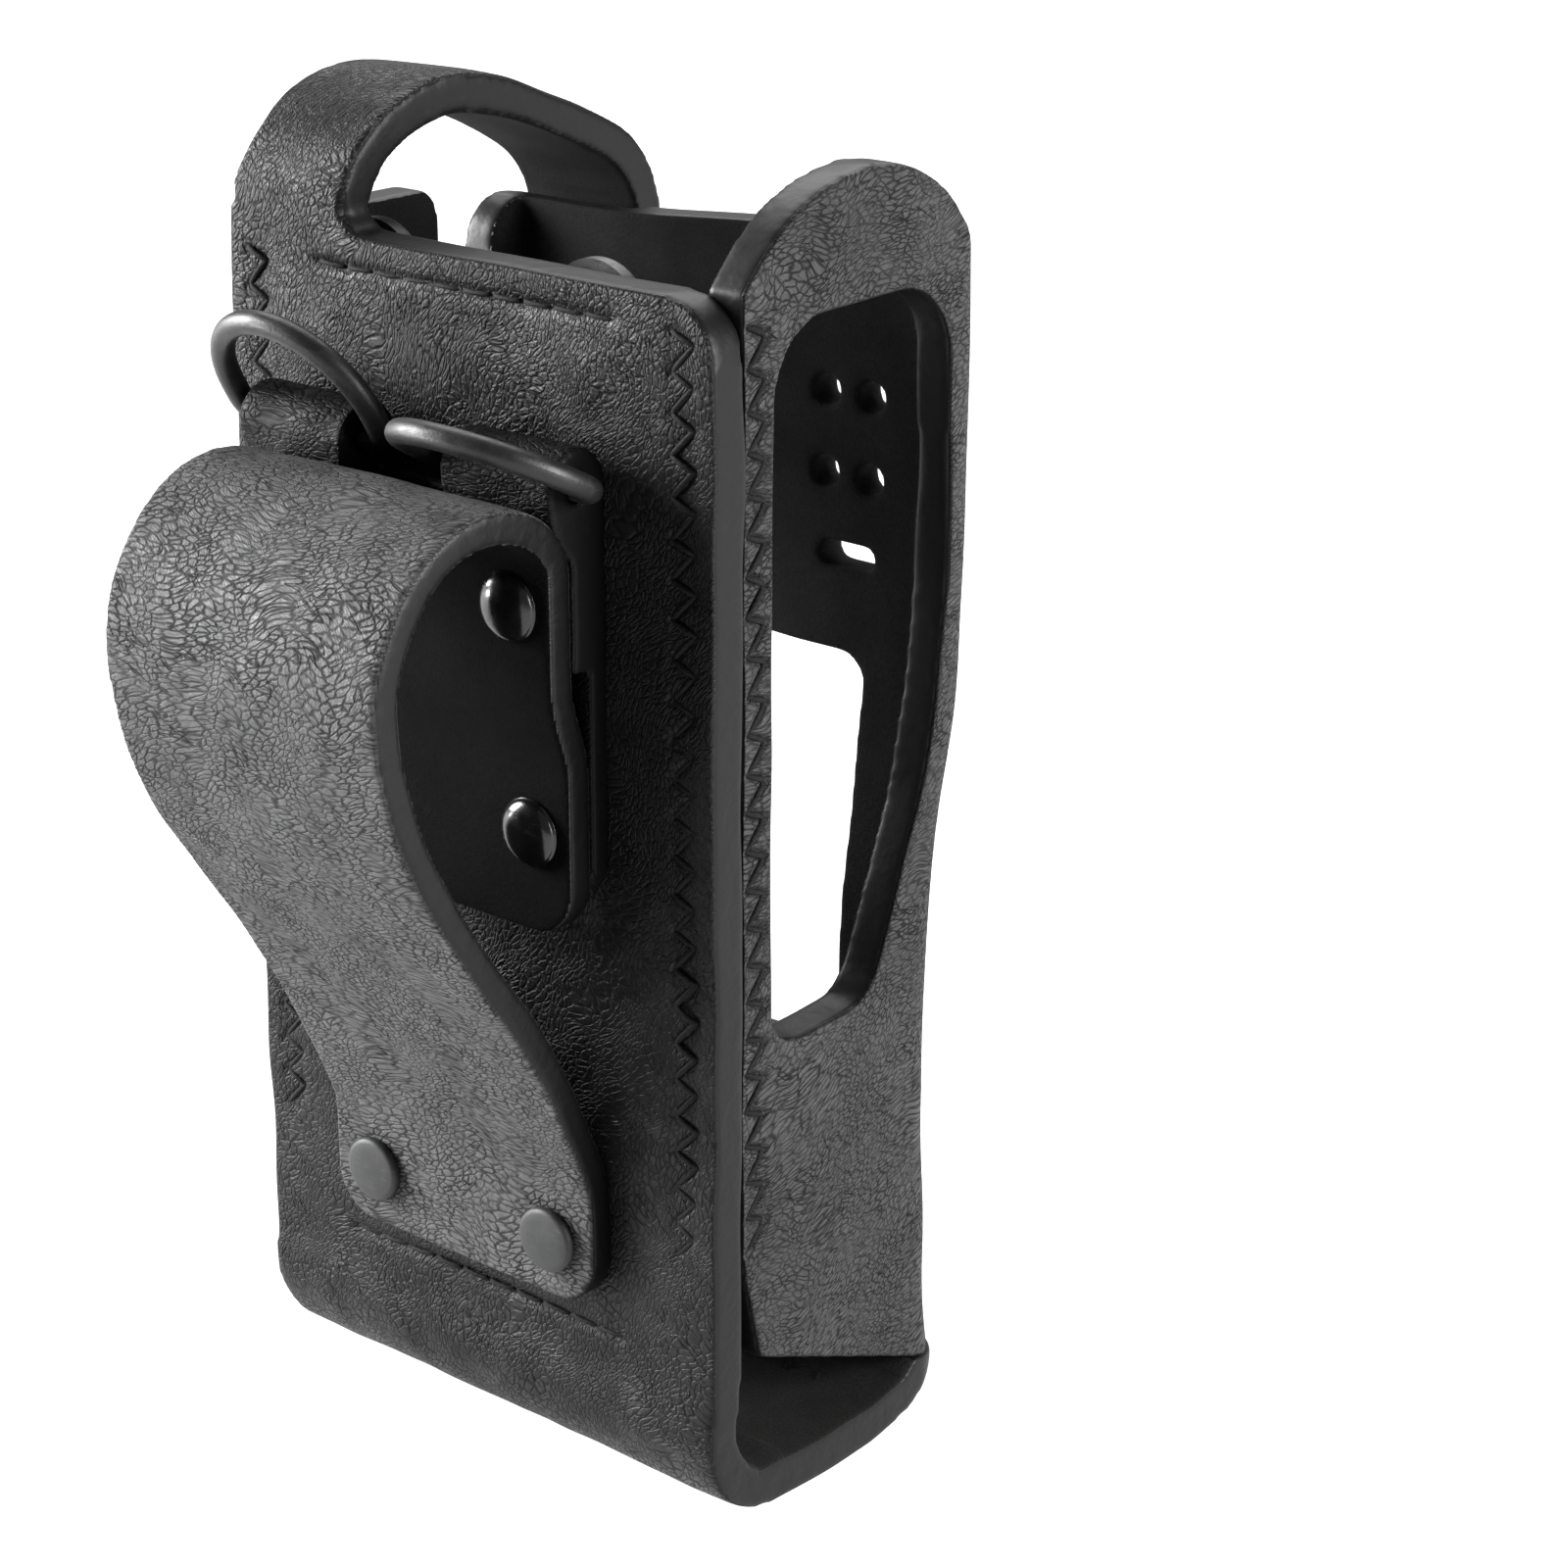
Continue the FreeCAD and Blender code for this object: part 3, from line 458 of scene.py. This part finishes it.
def leather(name, cell, dark, rough, crease=0.5, depth=0.12, seed=0.0, gloss=0.0, lean=0.5,
            level=0.25, edge_dark=0.004):
    """Wrinkled black leather; its cut edge is smooth and painted.

    cell is the size in mm of the grain's cells, lean how much they slant in radians, crease the
    strength of the long creases, depth the relief in mm, gloss how much worn patches shine, and
    level the strength of the reflection. Creases are rougher than the tops of the cells, and their
    base colour is darkened as painted shade in the grain's valleys."""
    s = Shade(name)
    flat = s.attribute("flat")
    edge = s.node("SeparateXYZ", "X", (("Vector", s.attribute("zone")),))
    wander = s.node("TexNoise", "Color", (("Vector", flat), ("Scale", 0.06), ("Detail", 2.0)))
    wander = s.vector("MULTIPLY", s.vector("SUBTRACT", wander, (0.5, 0.5, 0.5)),
                      (14.0, 9.0, 0.0))
    bent = s.vector("ADD", flat, wander)
    slant = s.node("VectorRotate", inputs=(("Vector", bent), ("Angle", lean)),
                   rotation_type="Z_AXIS")
    counter = s.node("VectorRotate", inputs=(("Vector", bent), ("Angle", -lean * 1.3)),
                     rotation_type="Z_AXIS")
    strong = s.step(s.noise(flat, 0.16, 2.0), 0.36, 0.62, 0.6, 1.0)
    broken = s.step(s.noise(flat, 0.11, 2.0), 0.42, 0.58)
    pebble = s.crackle(slant, cell, 0.24, 0.4, seed)
    fine = s.crackle(counter, (cell[0] * 0.5, cell[1] * 0.5), 0.3, 0.45, seed + 3.1)
    veins = s.crackle(counter, (cell[0] * 5.2, cell[1] * 4.0), 0.035, 1.2, seed + 7.7)
    veins = s.blend(broken, 1.0, veins)
    cloud = s.noise(flat, 0.045, 3.0)
    worn = s.step(cloud, 0.42, 0.62)
    grit = s.noise(flat, 3.4, 2.0)
    wrinkle = s.noise(s.vector("MULTIPLY", slant, (1.1 / cell[0], 0.5 / cell[1], 0.3)), 1.0, 1.0)
    rumple = s.noise(flat, 0.2, 2.0)
    height = s.math("MULTIPLY", s.math("MULTIPLY", pebble, strong), 0.7)
    for layer, share in ((fine, 0.16), (grit, 0.1), (veins, crease), (wrinkle, 0.6), (rumple, 1.6)):
        height = s.math("ADD", height, s.math("MULTIPLY", layer, share))
    painted = s.math("ADD", s.math("MULTIPLY", grit, 0.06),
                     s.math("MULTIPLY", s.noise(flat, 0.4, 2.0), 0.7))
    s.bump(s.blend(edge, height, painted), depth)
    # Painted shade: this factor darkens the base colour in the grain's creases and valleys, and
    # also makes them rougher.
    crease_shade_and_gloss = s.math("MULTIPLY", s.blend(strong, 0.9, s.blend(pebble, 0.1, 1.0)),
                      s.blend(fine, 0.75, 1.0))
    crease_shade_and_gloss = s.math("MULTIPLY", crease_shade_and_gloss, s.blend(veins, 0.15, 1.0))
    crease_shade_and_gloss = s.math("MULTIPLY", crease_shade_and_gloss, s.step(wrinkle, 0.32, 0.66, 0.82, 1.12))
    tone = s.math("MULTIPLY", crease_shade_and_gloss, s.step(cloud, 0.3, 0.7, dark * 0.85, dark * 1.2))
    shine = s.math("SUBTRACT", rough + 0.38, s.math("MULTIPLY", crease_shade_and_gloss, 0.4))
    shine = s.math("SUBTRACT", s.math("ADD", shine, s.math("MULTIPLY", grit, 0.1)),
                   s.math("MULTIPLY", worn, gloss))
    return s.set(Base_Color=s.grey(s.blend(edge, tone, edge_dark), (1.0, 1.0, 1.02)),
                 Roughness=s.blend(edge, shine, 0.42), Specular_IOR_Level=level)


def suede(name, dark=0.0065, level=0.25):
    """Napped flesh side: matt, nearly black, with pale fibres and a few specks."""
    s = Shade(name)
    flat = s.attribute("flat")
    nap = s.noise(flat, 2.6, 5.0, 0.7)
    patches = s.noise(flat, 0.16, 3.0)
    specks = s.step(s.noise(flat, 4.5, 1.0), 0.68, 0.78)
    tone = s.math("MULTIPLY", s.step(nap, 0.3, 0.75, dark * 0.5, dark * 1.9),
                  s.step(patches, 0.3, 0.7, 0.75, 1.3))
    tone = s.math("ADD", tone, s.math("MULTIPLY", specks, dark * 2.2))
    s.bump(s.math("ADD", nap, s.math("MULTIPLY", patches, 0.4)), 0.22)
    return s.set(Base_Color=s.grey(tone, (1.05, 1.0, 0.96)), Roughness=0.93,
                 Specular_IOR_Level=level)


def thread_material(name):
    s = Shade(name)
    at = s.node("TexCoord", "Object")
    fibre = s.noise(s.vector("MULTIPLY", at, (1500.0, 1500.0, 5200.0)), 1.0, 2.0)
    s.bump(fibre, 0.12)
    return s.set(Base_Color=s.grey(s.step(fibre, 0.3, 0.7, 0.002, 0.008)), Roughness=0.75,
                 Specular_IOR_Level=0.15)


def metal(name, dark, rough, bump=0.01, level=0.5):
    """Black painted or plated metal with faint mottling and handling marks."""
    s = Shade(name)
    at = s.node("TexCoord", "Object")
    mottle = s.noise(at, 420.0, 4.0, 0.6)
    grain = s.noise(at, 3600.0, 2.0)
    marks = s.step(s.noise(s.vector("MULTIPLY", at, (400.0, 400.0, 2400.0)), 1.0, 3.0), 0.62, 0.7)
    tone = s.math("MULTIPLY", s.step(mottle, 0.3, 0.7, 0.8, 1.25), dark)
    tone = s.math("ADD", tone, s.math("MULTIPLY", marks, dark * 0.6))
    shine = s.math("ADD", s.step(mottle, 0.3, 0.7, rough - 0.05, rough + 0.07),
                   s.math("MULTIPLY", marks, 0.1))
    s.bump(s.math("ADD", grain, s.math("MULTIPLY", mottle, 2.0)), bump)
    return s.set(Base_Color=s.grey(tone, (0.98, 1.0, 1.03)), Roughness=shine,
                 Specular_IOR_Level=level)


# All four pieces are the same black leather. Their base tones are fitted to how brightly each is
# lit: the loop's and the wrap's lighter tones are painted light, and the case's and the carrier's
# near-black tones are painted shade.
case_skin = leather("case_leather", (0.68, 1.35), 0.007, 0.38, crease=1.0, seed=1.0, gloss=0.12,
                    level=0.16, depth=0.16)
wrap_skin = leather("wrap_leather", (1.6, 0.6), 0.036, 0.5, crease=0.6, seed=11.0, lean=0.25,
                    level=0.2, depth=0.16)
loop_skin = leather("loop_leather", (1.7, 0.66), 0.066, 0.48, crease=0.9, seed=21.0, lean=0.25,
                    level=0.22, edge_dark=0.001, depth=0.16)
carrier_skin = leather("carrier_leather", (1.1, 1.6), 0.003, 0.36, seed=31.0, gloss=0.05,
                       level=0.09)
case_suede = suede("case_suede")
wrap_suede = suede("wrap_suede", 0.003, 0.14)
loop_suede = suede("loop_suede", 0.0016, 0.07)
liner_suede = suede("liner_suede", 0.004, 0.15)
thread = thread_material("thread")
gloss_black = metal("rivet_enamel", 0.004, 0.17)
rivet_grey = metal("rivet_grey", 0.020, 0.5, bump=0.012, level=0.3)
matt_black = metal("matt_enamel", 0.014, 0.45, bump=0.02)
wire_black = metal("wire_coating", 0.007, 0.42, bump=0.03, level=0.36)


# ---- case leather: back panel, bottom flap and strap, one hide -----------------------------
HINGE = Vector(next(j for j in frame["joints"] if j["name"] == "strap_swing")["pos_m"])


def hinge_filler(bm):
    """Fills the slit that the CAD strap turns in with a wedge of leather."""
    low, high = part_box("top_strap")
    section = ((0.04, 145.5), (4.96, 145.5), (4.98, 149.6), (1.04, 151.4))
    rings = []
    for x in (low.x / MM + 0.05, high.x / MM - 0.05):
        rings.append([bm.verts.new(to_row((x, y, z))) for y, z in section])
    first, last = rings
    bm.faces.new(first)
    bm.faces.new(last[::-1])
    for i in range(4):
        bm.faces.new((first[i], last[i], last[(i + 1) % 4], first[(i + 1) % 4]))


def make_hide():
    mesh = soften(["back_sheet", "top_strap"], 0.5, 14, hinge_filler)
    refine(mesh, lambda m: beside_seam(np.abs(m[:, 0]) - BACK_SEAM_X, m[:, 2]) & (m[:, 1] < 1.0))
    p, n = get_points(mesh), get_normals(mesh)
    line = Profile(BACK_LINE)
    along, off, left = line.locate(p[:, 1:])
    outward = np.stack([np.zeros(len(p)), left[:, 0], left[:, 1]], 1)
    facing = (n * outward).sum(1)
    grain = smoothstep(0.5, 0.9, facing) * (p[:, 2] < 147)
    panel = np.abs(p[:, 1]) < 2.0
    dip = np.zeros(len(p))
    for side in (-1, 1):
        dip += seam_dip(p[:, 0] - side * BACK_SEAM_X, p[:, 2], *SEAM_Z)
    for z in LINER_ROWS_Z:
        row = np.exp(-((p[:, 2] - z) / 0.62) ** 2)
        dip += 1.5 * row * (1 - smoothstep(LINER_ROW_HALF, LINER_ROW_HALF + 2, np.abs(p[:, 0])))
    sag = 0.28 * waves(p, 22, 5) + 0.10 * waves(p, 8, 6, (1, 1, 1.8))
    bend = np.exp(-((p[:, 2] - 9) / 8.0) ** 2) * (p[:, 1] < 14)
    ripple = 0.16 * waves(p, 6.5, 8, (0.8, 1, 2.5)) * bend
    move = (sag + ripple) * np.clip(p[:, 2] / 4.0, 0, 1) - 0.42 * dip * grain * panel

    # The remesh leaves steps on the strap: its faces are brought back to their smooth lines.
    root = line.locate(np.array([BACK_LINE[STRAP_LEAVES]]))[0][0]
    in_width = (p[:, 0] < STRAP_INNER_X).astype(float)
    outer = smoothstep(root - 9, root - 5, along) * smoothstep(0.75, 0.95, facing)
    outer = outer * (np.abs(off) < 1.6)
    under = off + STRAP_T
    inner = smoothstep(root + 4, root + 9, along) * smoothstep(0.75, 0.95, -facing)
    inner = inner * (np.abs(under) < 1.2)
    move -= in_width * (outer * off + inner * under)
    p = p + outward * move[:, None]

    # The toe flap lifts and has round corners; the strap is narrower over its arch.
    flap = 1 - smoothstep(8, 20, p[:, 2])
    rise = 1.3 * (1 - smoothstep(5, 24, p[:, 1]))
    rise += 0.7 * smoothstep(29, 36, p[:, 1]) * (1 - smoothstep(38, 45, p[:, 1]))
    p[:, 2] = np.maximum(p[:, 2] + rise * flap, 0.0)
    arch = smoothstep(140, 162, p[:, 2]) * (1 - smoothstep(30, 50, p[:, 1]))
    past = np.clip(p[:, 1] - TOE_CORNER_Y, 0, BEND_R)
    corner = BEND_R - np.sqrt(np.clip(BEND_R ** 2 - past ** 2, 0, None))
    corner = np.sign(p[:, 0]) * corner * smoothstep(18, 36, np.abs(p[:, 0]))
    p[:, 0] -= corner * (p[:, 2] < TOE_TOP)
    p[:, 0] += ARCH_NARROWING * arch * smoothstep(-20, -36, p[:, 0])
    set_points(mesh, p)
    finish_leather(mesh, outward, np.stack([p[:, 0], along, off], 1))
    return mesh


def split_at(mesh, keep):
    """A copy with only the faces for whose middles keep is true, shaded as the whole is."""
    set_vector(mesh, "whole_normal", get_normals(mesh))
    part = mesh.copy()
    mesh.attributes.remove(mesh.attributes["whole_normal"])
    bm = bmesh.new()
    bm.from_mesh(part)
    gone = [f for f in bm.faces if not keep(f.calc_center_median())]
    bmesh.ops.delete(bm, geom=gone, context="FACES")
    bm.to_mesh(part)
    bm.free()
    stored = part.attributes["whole_normal"]
    normals = np.empty(len(part.vertices) * 3, np.float32)
    stored.data.foreach_get("vector", normals)
    part.normals_split_custom_set_from_vertices(normals.reshape(-1, 3).tolist())
    part.attributes.remove(part.attributes["whole_normal"])
    return part


BEND_TOWARD = Vector((0, 0.8, 0.6))    # across the strap's bend, away from the back panel
BEND_START = HINGE - BEND_TOWARD * 0.5 * MM


def in_strap(middle):
    return (middle - BEND_START).dot(BEND_TOWARD) > 0


def in_back(middle):
    return not in_strap(middle)


hide = make_hide()
piece("back_leather", split_at(hide, in_back), "case", [case_skin, case_suede], ["back_sheet"])
strap = piece("strap_leather", split_at(hide, in_strap), None,
              [case_skin, wrap_suede], ["top_strap"])
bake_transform(strap)


# ---- front wrap ----------------------------------------------------------------------------
def make_wrap():
    mesh = soften(["front_wrap"], 0.5, 12)
    refine(mesh, lambda m: beside_seam(m[:, 1] - WALL_SEAM_Y, m[:, 2])
           & (np.abs(m[:, 0]) > HALF_W - 1))
    p, n = get_points(mesh), get_normals(mesh)
    z, depth = zip(*FRONT_DEPTH)
    scale = DEPTH / np.interp(p[:, 2], z, depth)
    line = Profile(WRAP_LINE)
    along, off, left = line.locate(np.stack([p[:, 0], p[:, 1] * scale], 1))
    outward = np.stack([left[:, 0], left[:, 1], np.zeros(len(p))], 1)
    facing = (n * outward).sum(1)
    wall = smoothstep(0.5, 0.9, facing) * (np.abs(p[:, 0]) > HALF_W - 2)
    dip = seam_dip(p[:, 1] - WALL_SEAM_Y, p[:, 2], *SEAM_Z) * wall
    sag = 0.25 * waves(p, 24, 15) + 0.10 * waves(p, 9, 16, (1, 1, 1.8))
    p = p + outward * (sag - 0.75 * dip)[:, None]
    corner = smoothstep(20, -22, p[:, 0]) * smoothstep(118, 145, p[:, 2])
    p[:, 2] -= CORNER_DROOP * (corner * (p[:, 1] > DEPTH / 2 + 10))
    set_points(mesh, p)
    left_x, right_x, low, high = SOUND_HOLES
    raw = ((p[:, 0] > left_x) & (p[:, 0] < right_x) & (p[:, 2] > low) & (p[:, 2] < high)
           & (p[:, 1] > DEPTH - LEATHER - 1))
    finish_leather(mesh, outward, np.stack([along, p[:, 2], off], 1), raw)
    return mesh


piece("wrap_leather", make_wrap(), "case", [wrap_skin, wrap_suede], ["front_wrap"])


# ---- belt loop -----------------------------------------------------------------------------
def make_loop():
    mesh = soften(["belt_loop"], 0.42, 12)
    p = get_points(mesh)
    line = Profile(LOOP_LINE)
    along, off, left = line.locate(p[:, 1:])
    outward = -np.stack([np.zeros(len(p)), left[:, 0], left[:, 1]], 1)
    fold = smoothstep(36, 60, along) * (1 - smoothstep(150, 175, along))
    sag = fold * (0.5 * waves(p, 34, 25) + 0.12 * waves(p, 9, 26))
    outer = p[:, 1] < -LOOP_T * 0.6
    for x, z in LOWER_RIVETS:
        gap = np.hypot(p[:, 0] - x, p[:, 2] - z)
        sag -= 0.35 * np.exp(-(gap / 5.5) ** 2) * outer * (p[:, 2] < 60)
    p = p + outward * sag[:, None]
    set_points(mesh, p)
    finish_leather(mesh, outward, np.stack([p[:, 0], along, off], 1))
    return mesh


piece("loop_leather", make_loop(), "case", [loop_skin, loop_suede], ["belt_loop"])


# ---- ring carrier --------------------------------------------------------------------------
def make_carrier():
    mesh = soften(["ring_carrier"], 0.36, 7)
    p = get_points(mesh)
    radial = p[:, 1:] - BAR
    radial /= np.linalg.norm(radial, axis=1)[:, None]
    on_tab = np.abs(np.abs(p[:, 0] - np.mean(TAB_X)) - (TAB_X[1] - TAB_X[0]) / 2) < TAB_W / 2 + 0.3
    over = (on_tab & (p[:, 2] > BAR[1] - 5))[:, None]
    across = np.where(over, radial, [-1.0, 0.0])
    outward = np.stack([np.zeros(len(p)), across[:, 0], across[:, 1]], 1)
    angle = np.arctan2(radial[:, 1], -radial[:, 0]) * 5.0
    along = p[:, 2] + np.where(over[:, 0], angle, 0)
    p = p + outward * (0.12 * waves(p, 7, 35))[:, None] * (p[:, 1] < -3)[:, None]
    set_points(mesh, p)
    finish_leather(mesh, outward, np.stack([p[:, 0], along, p[:, 1]], 1))
    mesh.polygons.foreach_set("material_index", np.zeros(len(mesh.polygons), np.int32))
    return mesh


piece("carrier_leather", make_carrier(), "case", [carrier_skin], ["ring_carrier"])


# ---- liner ---------------------------------------------------------------------------------
def make_liner():
    mesh = soften(["liner_patch"], 0.5, 4)
    p = get_points(mesh)
    p[:, 1] += 0.12 * waves(p, 18, 45) * (p[:, 1] > LEATHER + 0.5)
    set_points(mesh, p)
    set_vector(mesh, "flat", p[:, [0, 2, 1]])
    shade_smooth(mesh)
    return mesh


piece("liner_suede", make_liner(), "case", [liner_suede], ["liner_patch"])


# ---- threads -------------------------------------------------------------------------------
def side_threads(side):
    def fill(bm):
        low, high = SEAM_Z
        zigzag_stitches(bm, high - low,
                        lambda run, across: (side * BACK_SEAM_X + across, 0.42, low + run),
                        (0, -1, 0), 50 + side)
        zigzag_stitches(bm, high - low,
                        lambda run, across: (side * (HALF_W - 0.62), WALL_SEAM_Y + across,
                                             low + run),
                        (side, 0, 0), 60 + side)
    return fill


def bottom_threads(bm):
    zigzag_stitches(bm, 2 * BOTTOM_SEAM_HALF,
                    lambda run, across: (-BOTTOM_SEAM_HALF + run, BOTTOM_SEAM_Y + across,
                                         LEATHER - 0.25),
                    (0, 0, 1), 70)


def liner_threads(bm):
    pitch = LINER_STITCH + LINER_STITCH_GAP
    count = int(2 * LINER_ROW_HALF / pitch) + 1
    rng = np.random.default_rng(80)
    for z in LINER_ROWS_Z:
        for i in range(count):
            x = -LINER_ROW_HALF + i * pitch
            rise = rng.uniform(-0.12, 0.12)
            stitch(bm, (x, 0.5, z + rise), (x + LINER_STITCH, 0.5, z - rise), (0, -1, 0),
                   radius=0.3, proud=0.2)


thread_piece("seam_threads_left", side_threads(-1), ["seam_left"], thread)
thread_piece("seam_threads_right", side_threads(1), ["seam_right"], thread)
thread_piece("seam_threads_bottom", bottom_threads, ["seam_bottom"], thread)
thread_piece("liner_threads", liner_threads, ["liner_stitches"], thread)


# ---- rivets and the snap's cap -------------------------------------------------------------
def lathe(bm, centre, toward, profile, segments=64):
    """Turns a profile of (radius, height) about an axis along Y. toward is 1 or -1."""
    x, y, z = centre
    rings = []
    for radius, height in profile:
        ring = []
        for i in range(segments if radius else 1):
            angle = 2 * math.pi * i / segments
            ring.append(bm.verts.new(to_row((x + radius * math.cos(angle), y + toward * height,
                                             z + radius * math.sin(angle)))))
        rings.append(ring)
    for a, b in zip(rings, rings[1:]):
        for i in range(segments):
            j = (i + 1) % segments
            if len(b) == 1:
                bm.faces.new((a[i], a[j], b[0]))
            else:
                bm.faces.new((a[i], a[j], b[j], b[i]))


def dome(radius, rim, height, steps=12):
    """Profile of a cap: a rolled rim, then a dome."""
    points = [(radius * 0.9, -0.3), (radius * 0.97, 0.0), (radius, rim * 0.45),
              (radius * 0.985, rim * 0.8), (radius * 0.95, rim)]
    for i in range(1, steps + 1):
        angle = math.pi / 2 * i / steps
        points.append((radius * 0.95 * math.cos(angle), rim + (height - rim) * math.sin(angle)))
    return points[:-1] + [(0, height)]


def turned_piece(name, body, material, nodes, places, toward, profile):
    bm = bmesh.new()
    for x, z, y in places:
        lathe(bm, (x, y, z), toward, profile)
    return piece(name, smooth_mesh(name, bm), body, [material], nodes)


turned_piece("rivets_domed", "case", gloss_black, ["loop_rivets_upper"], UPPER_RIVETS, -1,
             dome(RIVET_R, 0.35, 1.8))
turned_piece("rivets_flat", "case", rivet_grey, ["loop_rivets_lower"],
             [(x, z, -LOOP_T) for x, z in LOWER_RIVETS], -1,
             [(3.7, -0.3), (3.95, 0.0), (RIVET_R, 0.35), (3.93, 0.7), (3.75, 0.92), (3.4, 1.03),
              (2.4, 1.1), (1.2, 1.15), (0, 1.17)])
snap_low, snap_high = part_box("snap_cap")
snap_x = (snap_low.x + snap_high.x) / 2 / MM
snap_z = (snap_low.z + snap_high.z) / 2 / MM
snap_face = snap_high.y / MM - BACK_Y
turned_piece("snap_dome", "strap", gloss_black, ["snap_cap"],
             [(snap_x, snap_z, snap_face - SNAP_CAP_T)], 1,
             [(5.8, -0.4), (6.15, 0.0), (6.25, 0.4), (6.15, 0.8), (5.8, 1.05), (5.3, 1.1),
              (5.0, 1.02), (4.7, 1.06), (4.2, 1.25), (3.0, 1.45), (1.5, 1.56), (0, SNAP_CAP_T)])


# ---- metal that keeps its CAD shape --------------------------------------------------------
def finish_node(node, material):
    mesh = frame["nodes"][node].data
    mesh.materials.clear()
    mesh.materials.append(material)


for node in ("d_ring_left", "d_ring_right"):
    finish_node(node, wire_black)
for node in ("snap_stud", "snap_socket"):
    finish_node(node, gloss_black)
for node in ("rivet_washers", "liner_discs", "stud_post"):
    finish_node(node, matt_black)


# ---- stage ---------------------------------------------------------------------------------
FLOOR_REACH = 12.0        # metres from the middle to each side
FLOOR_GLOW = 0.95         # keeps the floor an even white
WORLD_LIGHT = 0.24


def make_floor():
    mesh = bpy.data.meshes.new("floor")
    far = FLOOR_REACH
    mesh.from_pydata([(-far, -far, 0), (far, -far, 0), (far, far, 0), (-far, far, 0)], [],
                     [(0, 1, 2, 3)])
    s = Shade("floor_paper")
    at = s.node("TexCoord", "Object")
    fibre = s.noise(at, 180.0, 3.0)
    s.set(Base_Color=s.grey(s.step(fibre, 0.3, 0.7, 0.28, 0.32)), Roughness=0.9,
          Emission_Color=(1.0, 1.0, 1.0, 1.0), Emission_Strength=FLOOR_GLOW)
    mesh.materials.append(s.material)
    floor = new_object("floor", mesh)


def area_light(name, at, aim, size, watts, height=None):
    """A soft light at one point that looks at another, in metres; square if it has no height."""
    data = bpy.data.lights.new(name, "AREA")
    data.energy, data.size = watts, size
    if height:
        data.shape, data.size_y = "RECTANGLE", height
    light = new_object(name, data)
    light.location = at
    light.rotation_euler = (Vector(aim) - Vector(at)).to_track_quat("-Z", "Y").to_euler()


make_floor()
middle = (0, 0, 0.08)
area_light("key", (-0.90, -0.42, 0.42), middle, 0.5, 38.0)
area_light("side", (0.85, 0.25, 0.35), middle, 0.45, 17.0)
area_light("low", (-0.62, -0.55, 0.05), (0, 0, 0.0), 0.5, 5.5, 0.1)
area_light("back", (-0.70, 1.10, 1.40), (-0.45, 0.75, 0.0), 1.6, 40.0)

world = bpy.data.worlds.new("studio")
world.use_nodes = True
background = world.node_tree.nodes["Background"]
background.inputs["Color"].default_value = (1.0, 1.0, 1.0, 1.0)
background.inputs["Strength"].default_value = WORLD_LIGHT
bpy.context.scene.world = world
bpy.context.scene.view_settings.view_transform = "Standard"


# ---- camera --------------------------------------------------------------------------------
CAMERA_AT = (255.65, -262.14, 224.80)          # mm
CAMERA_PITCH, CAMERA_YAW, CAMERA_ROLL = 0.363044, 0.675857, 0.006629     # radians
FOCAL_LENGTH, SENSOR_WIDTH = 79.134, 36.0
lens = bpy.data.cameras.new("camera")
lens.lens, lens.sensor_width = FOCAL_LENGTH, SENSOR_WIDTH
lens.clip_start, lens.clip_end = 0.01, 40.0    # metres, past the floor's far corners
camera = new_object("camera", lens)
forward = Vector((-math.sin(CAMERA_YAW) * math.cos(CAMERA_PITCH),
                  math.cos(CAMERA_YAW) * math.cos(CAMERA_PITCH), -math.sin(CAMERA_PITCH)))
right = Vector((math.cos(CAMERA_YAW), math.sin(CAMERA_YAW), 0))
up = right.cross(forward)
turned_right = right * math.cos(CAMERA_ROLL) + up * math.sin(CAMERA_ROLL)
turned_up = up * math.cos(CAMERA_ROLL) - right * math.sin(CAMERA_ROLL)
camera.matrix_world = Matrix.Translation(to_row(CAMERA_AT)) @ \
    Matrix((turned_right, turned_up, -forward)).transposed().to_4x4()
bpy.context.scene.camera = camera
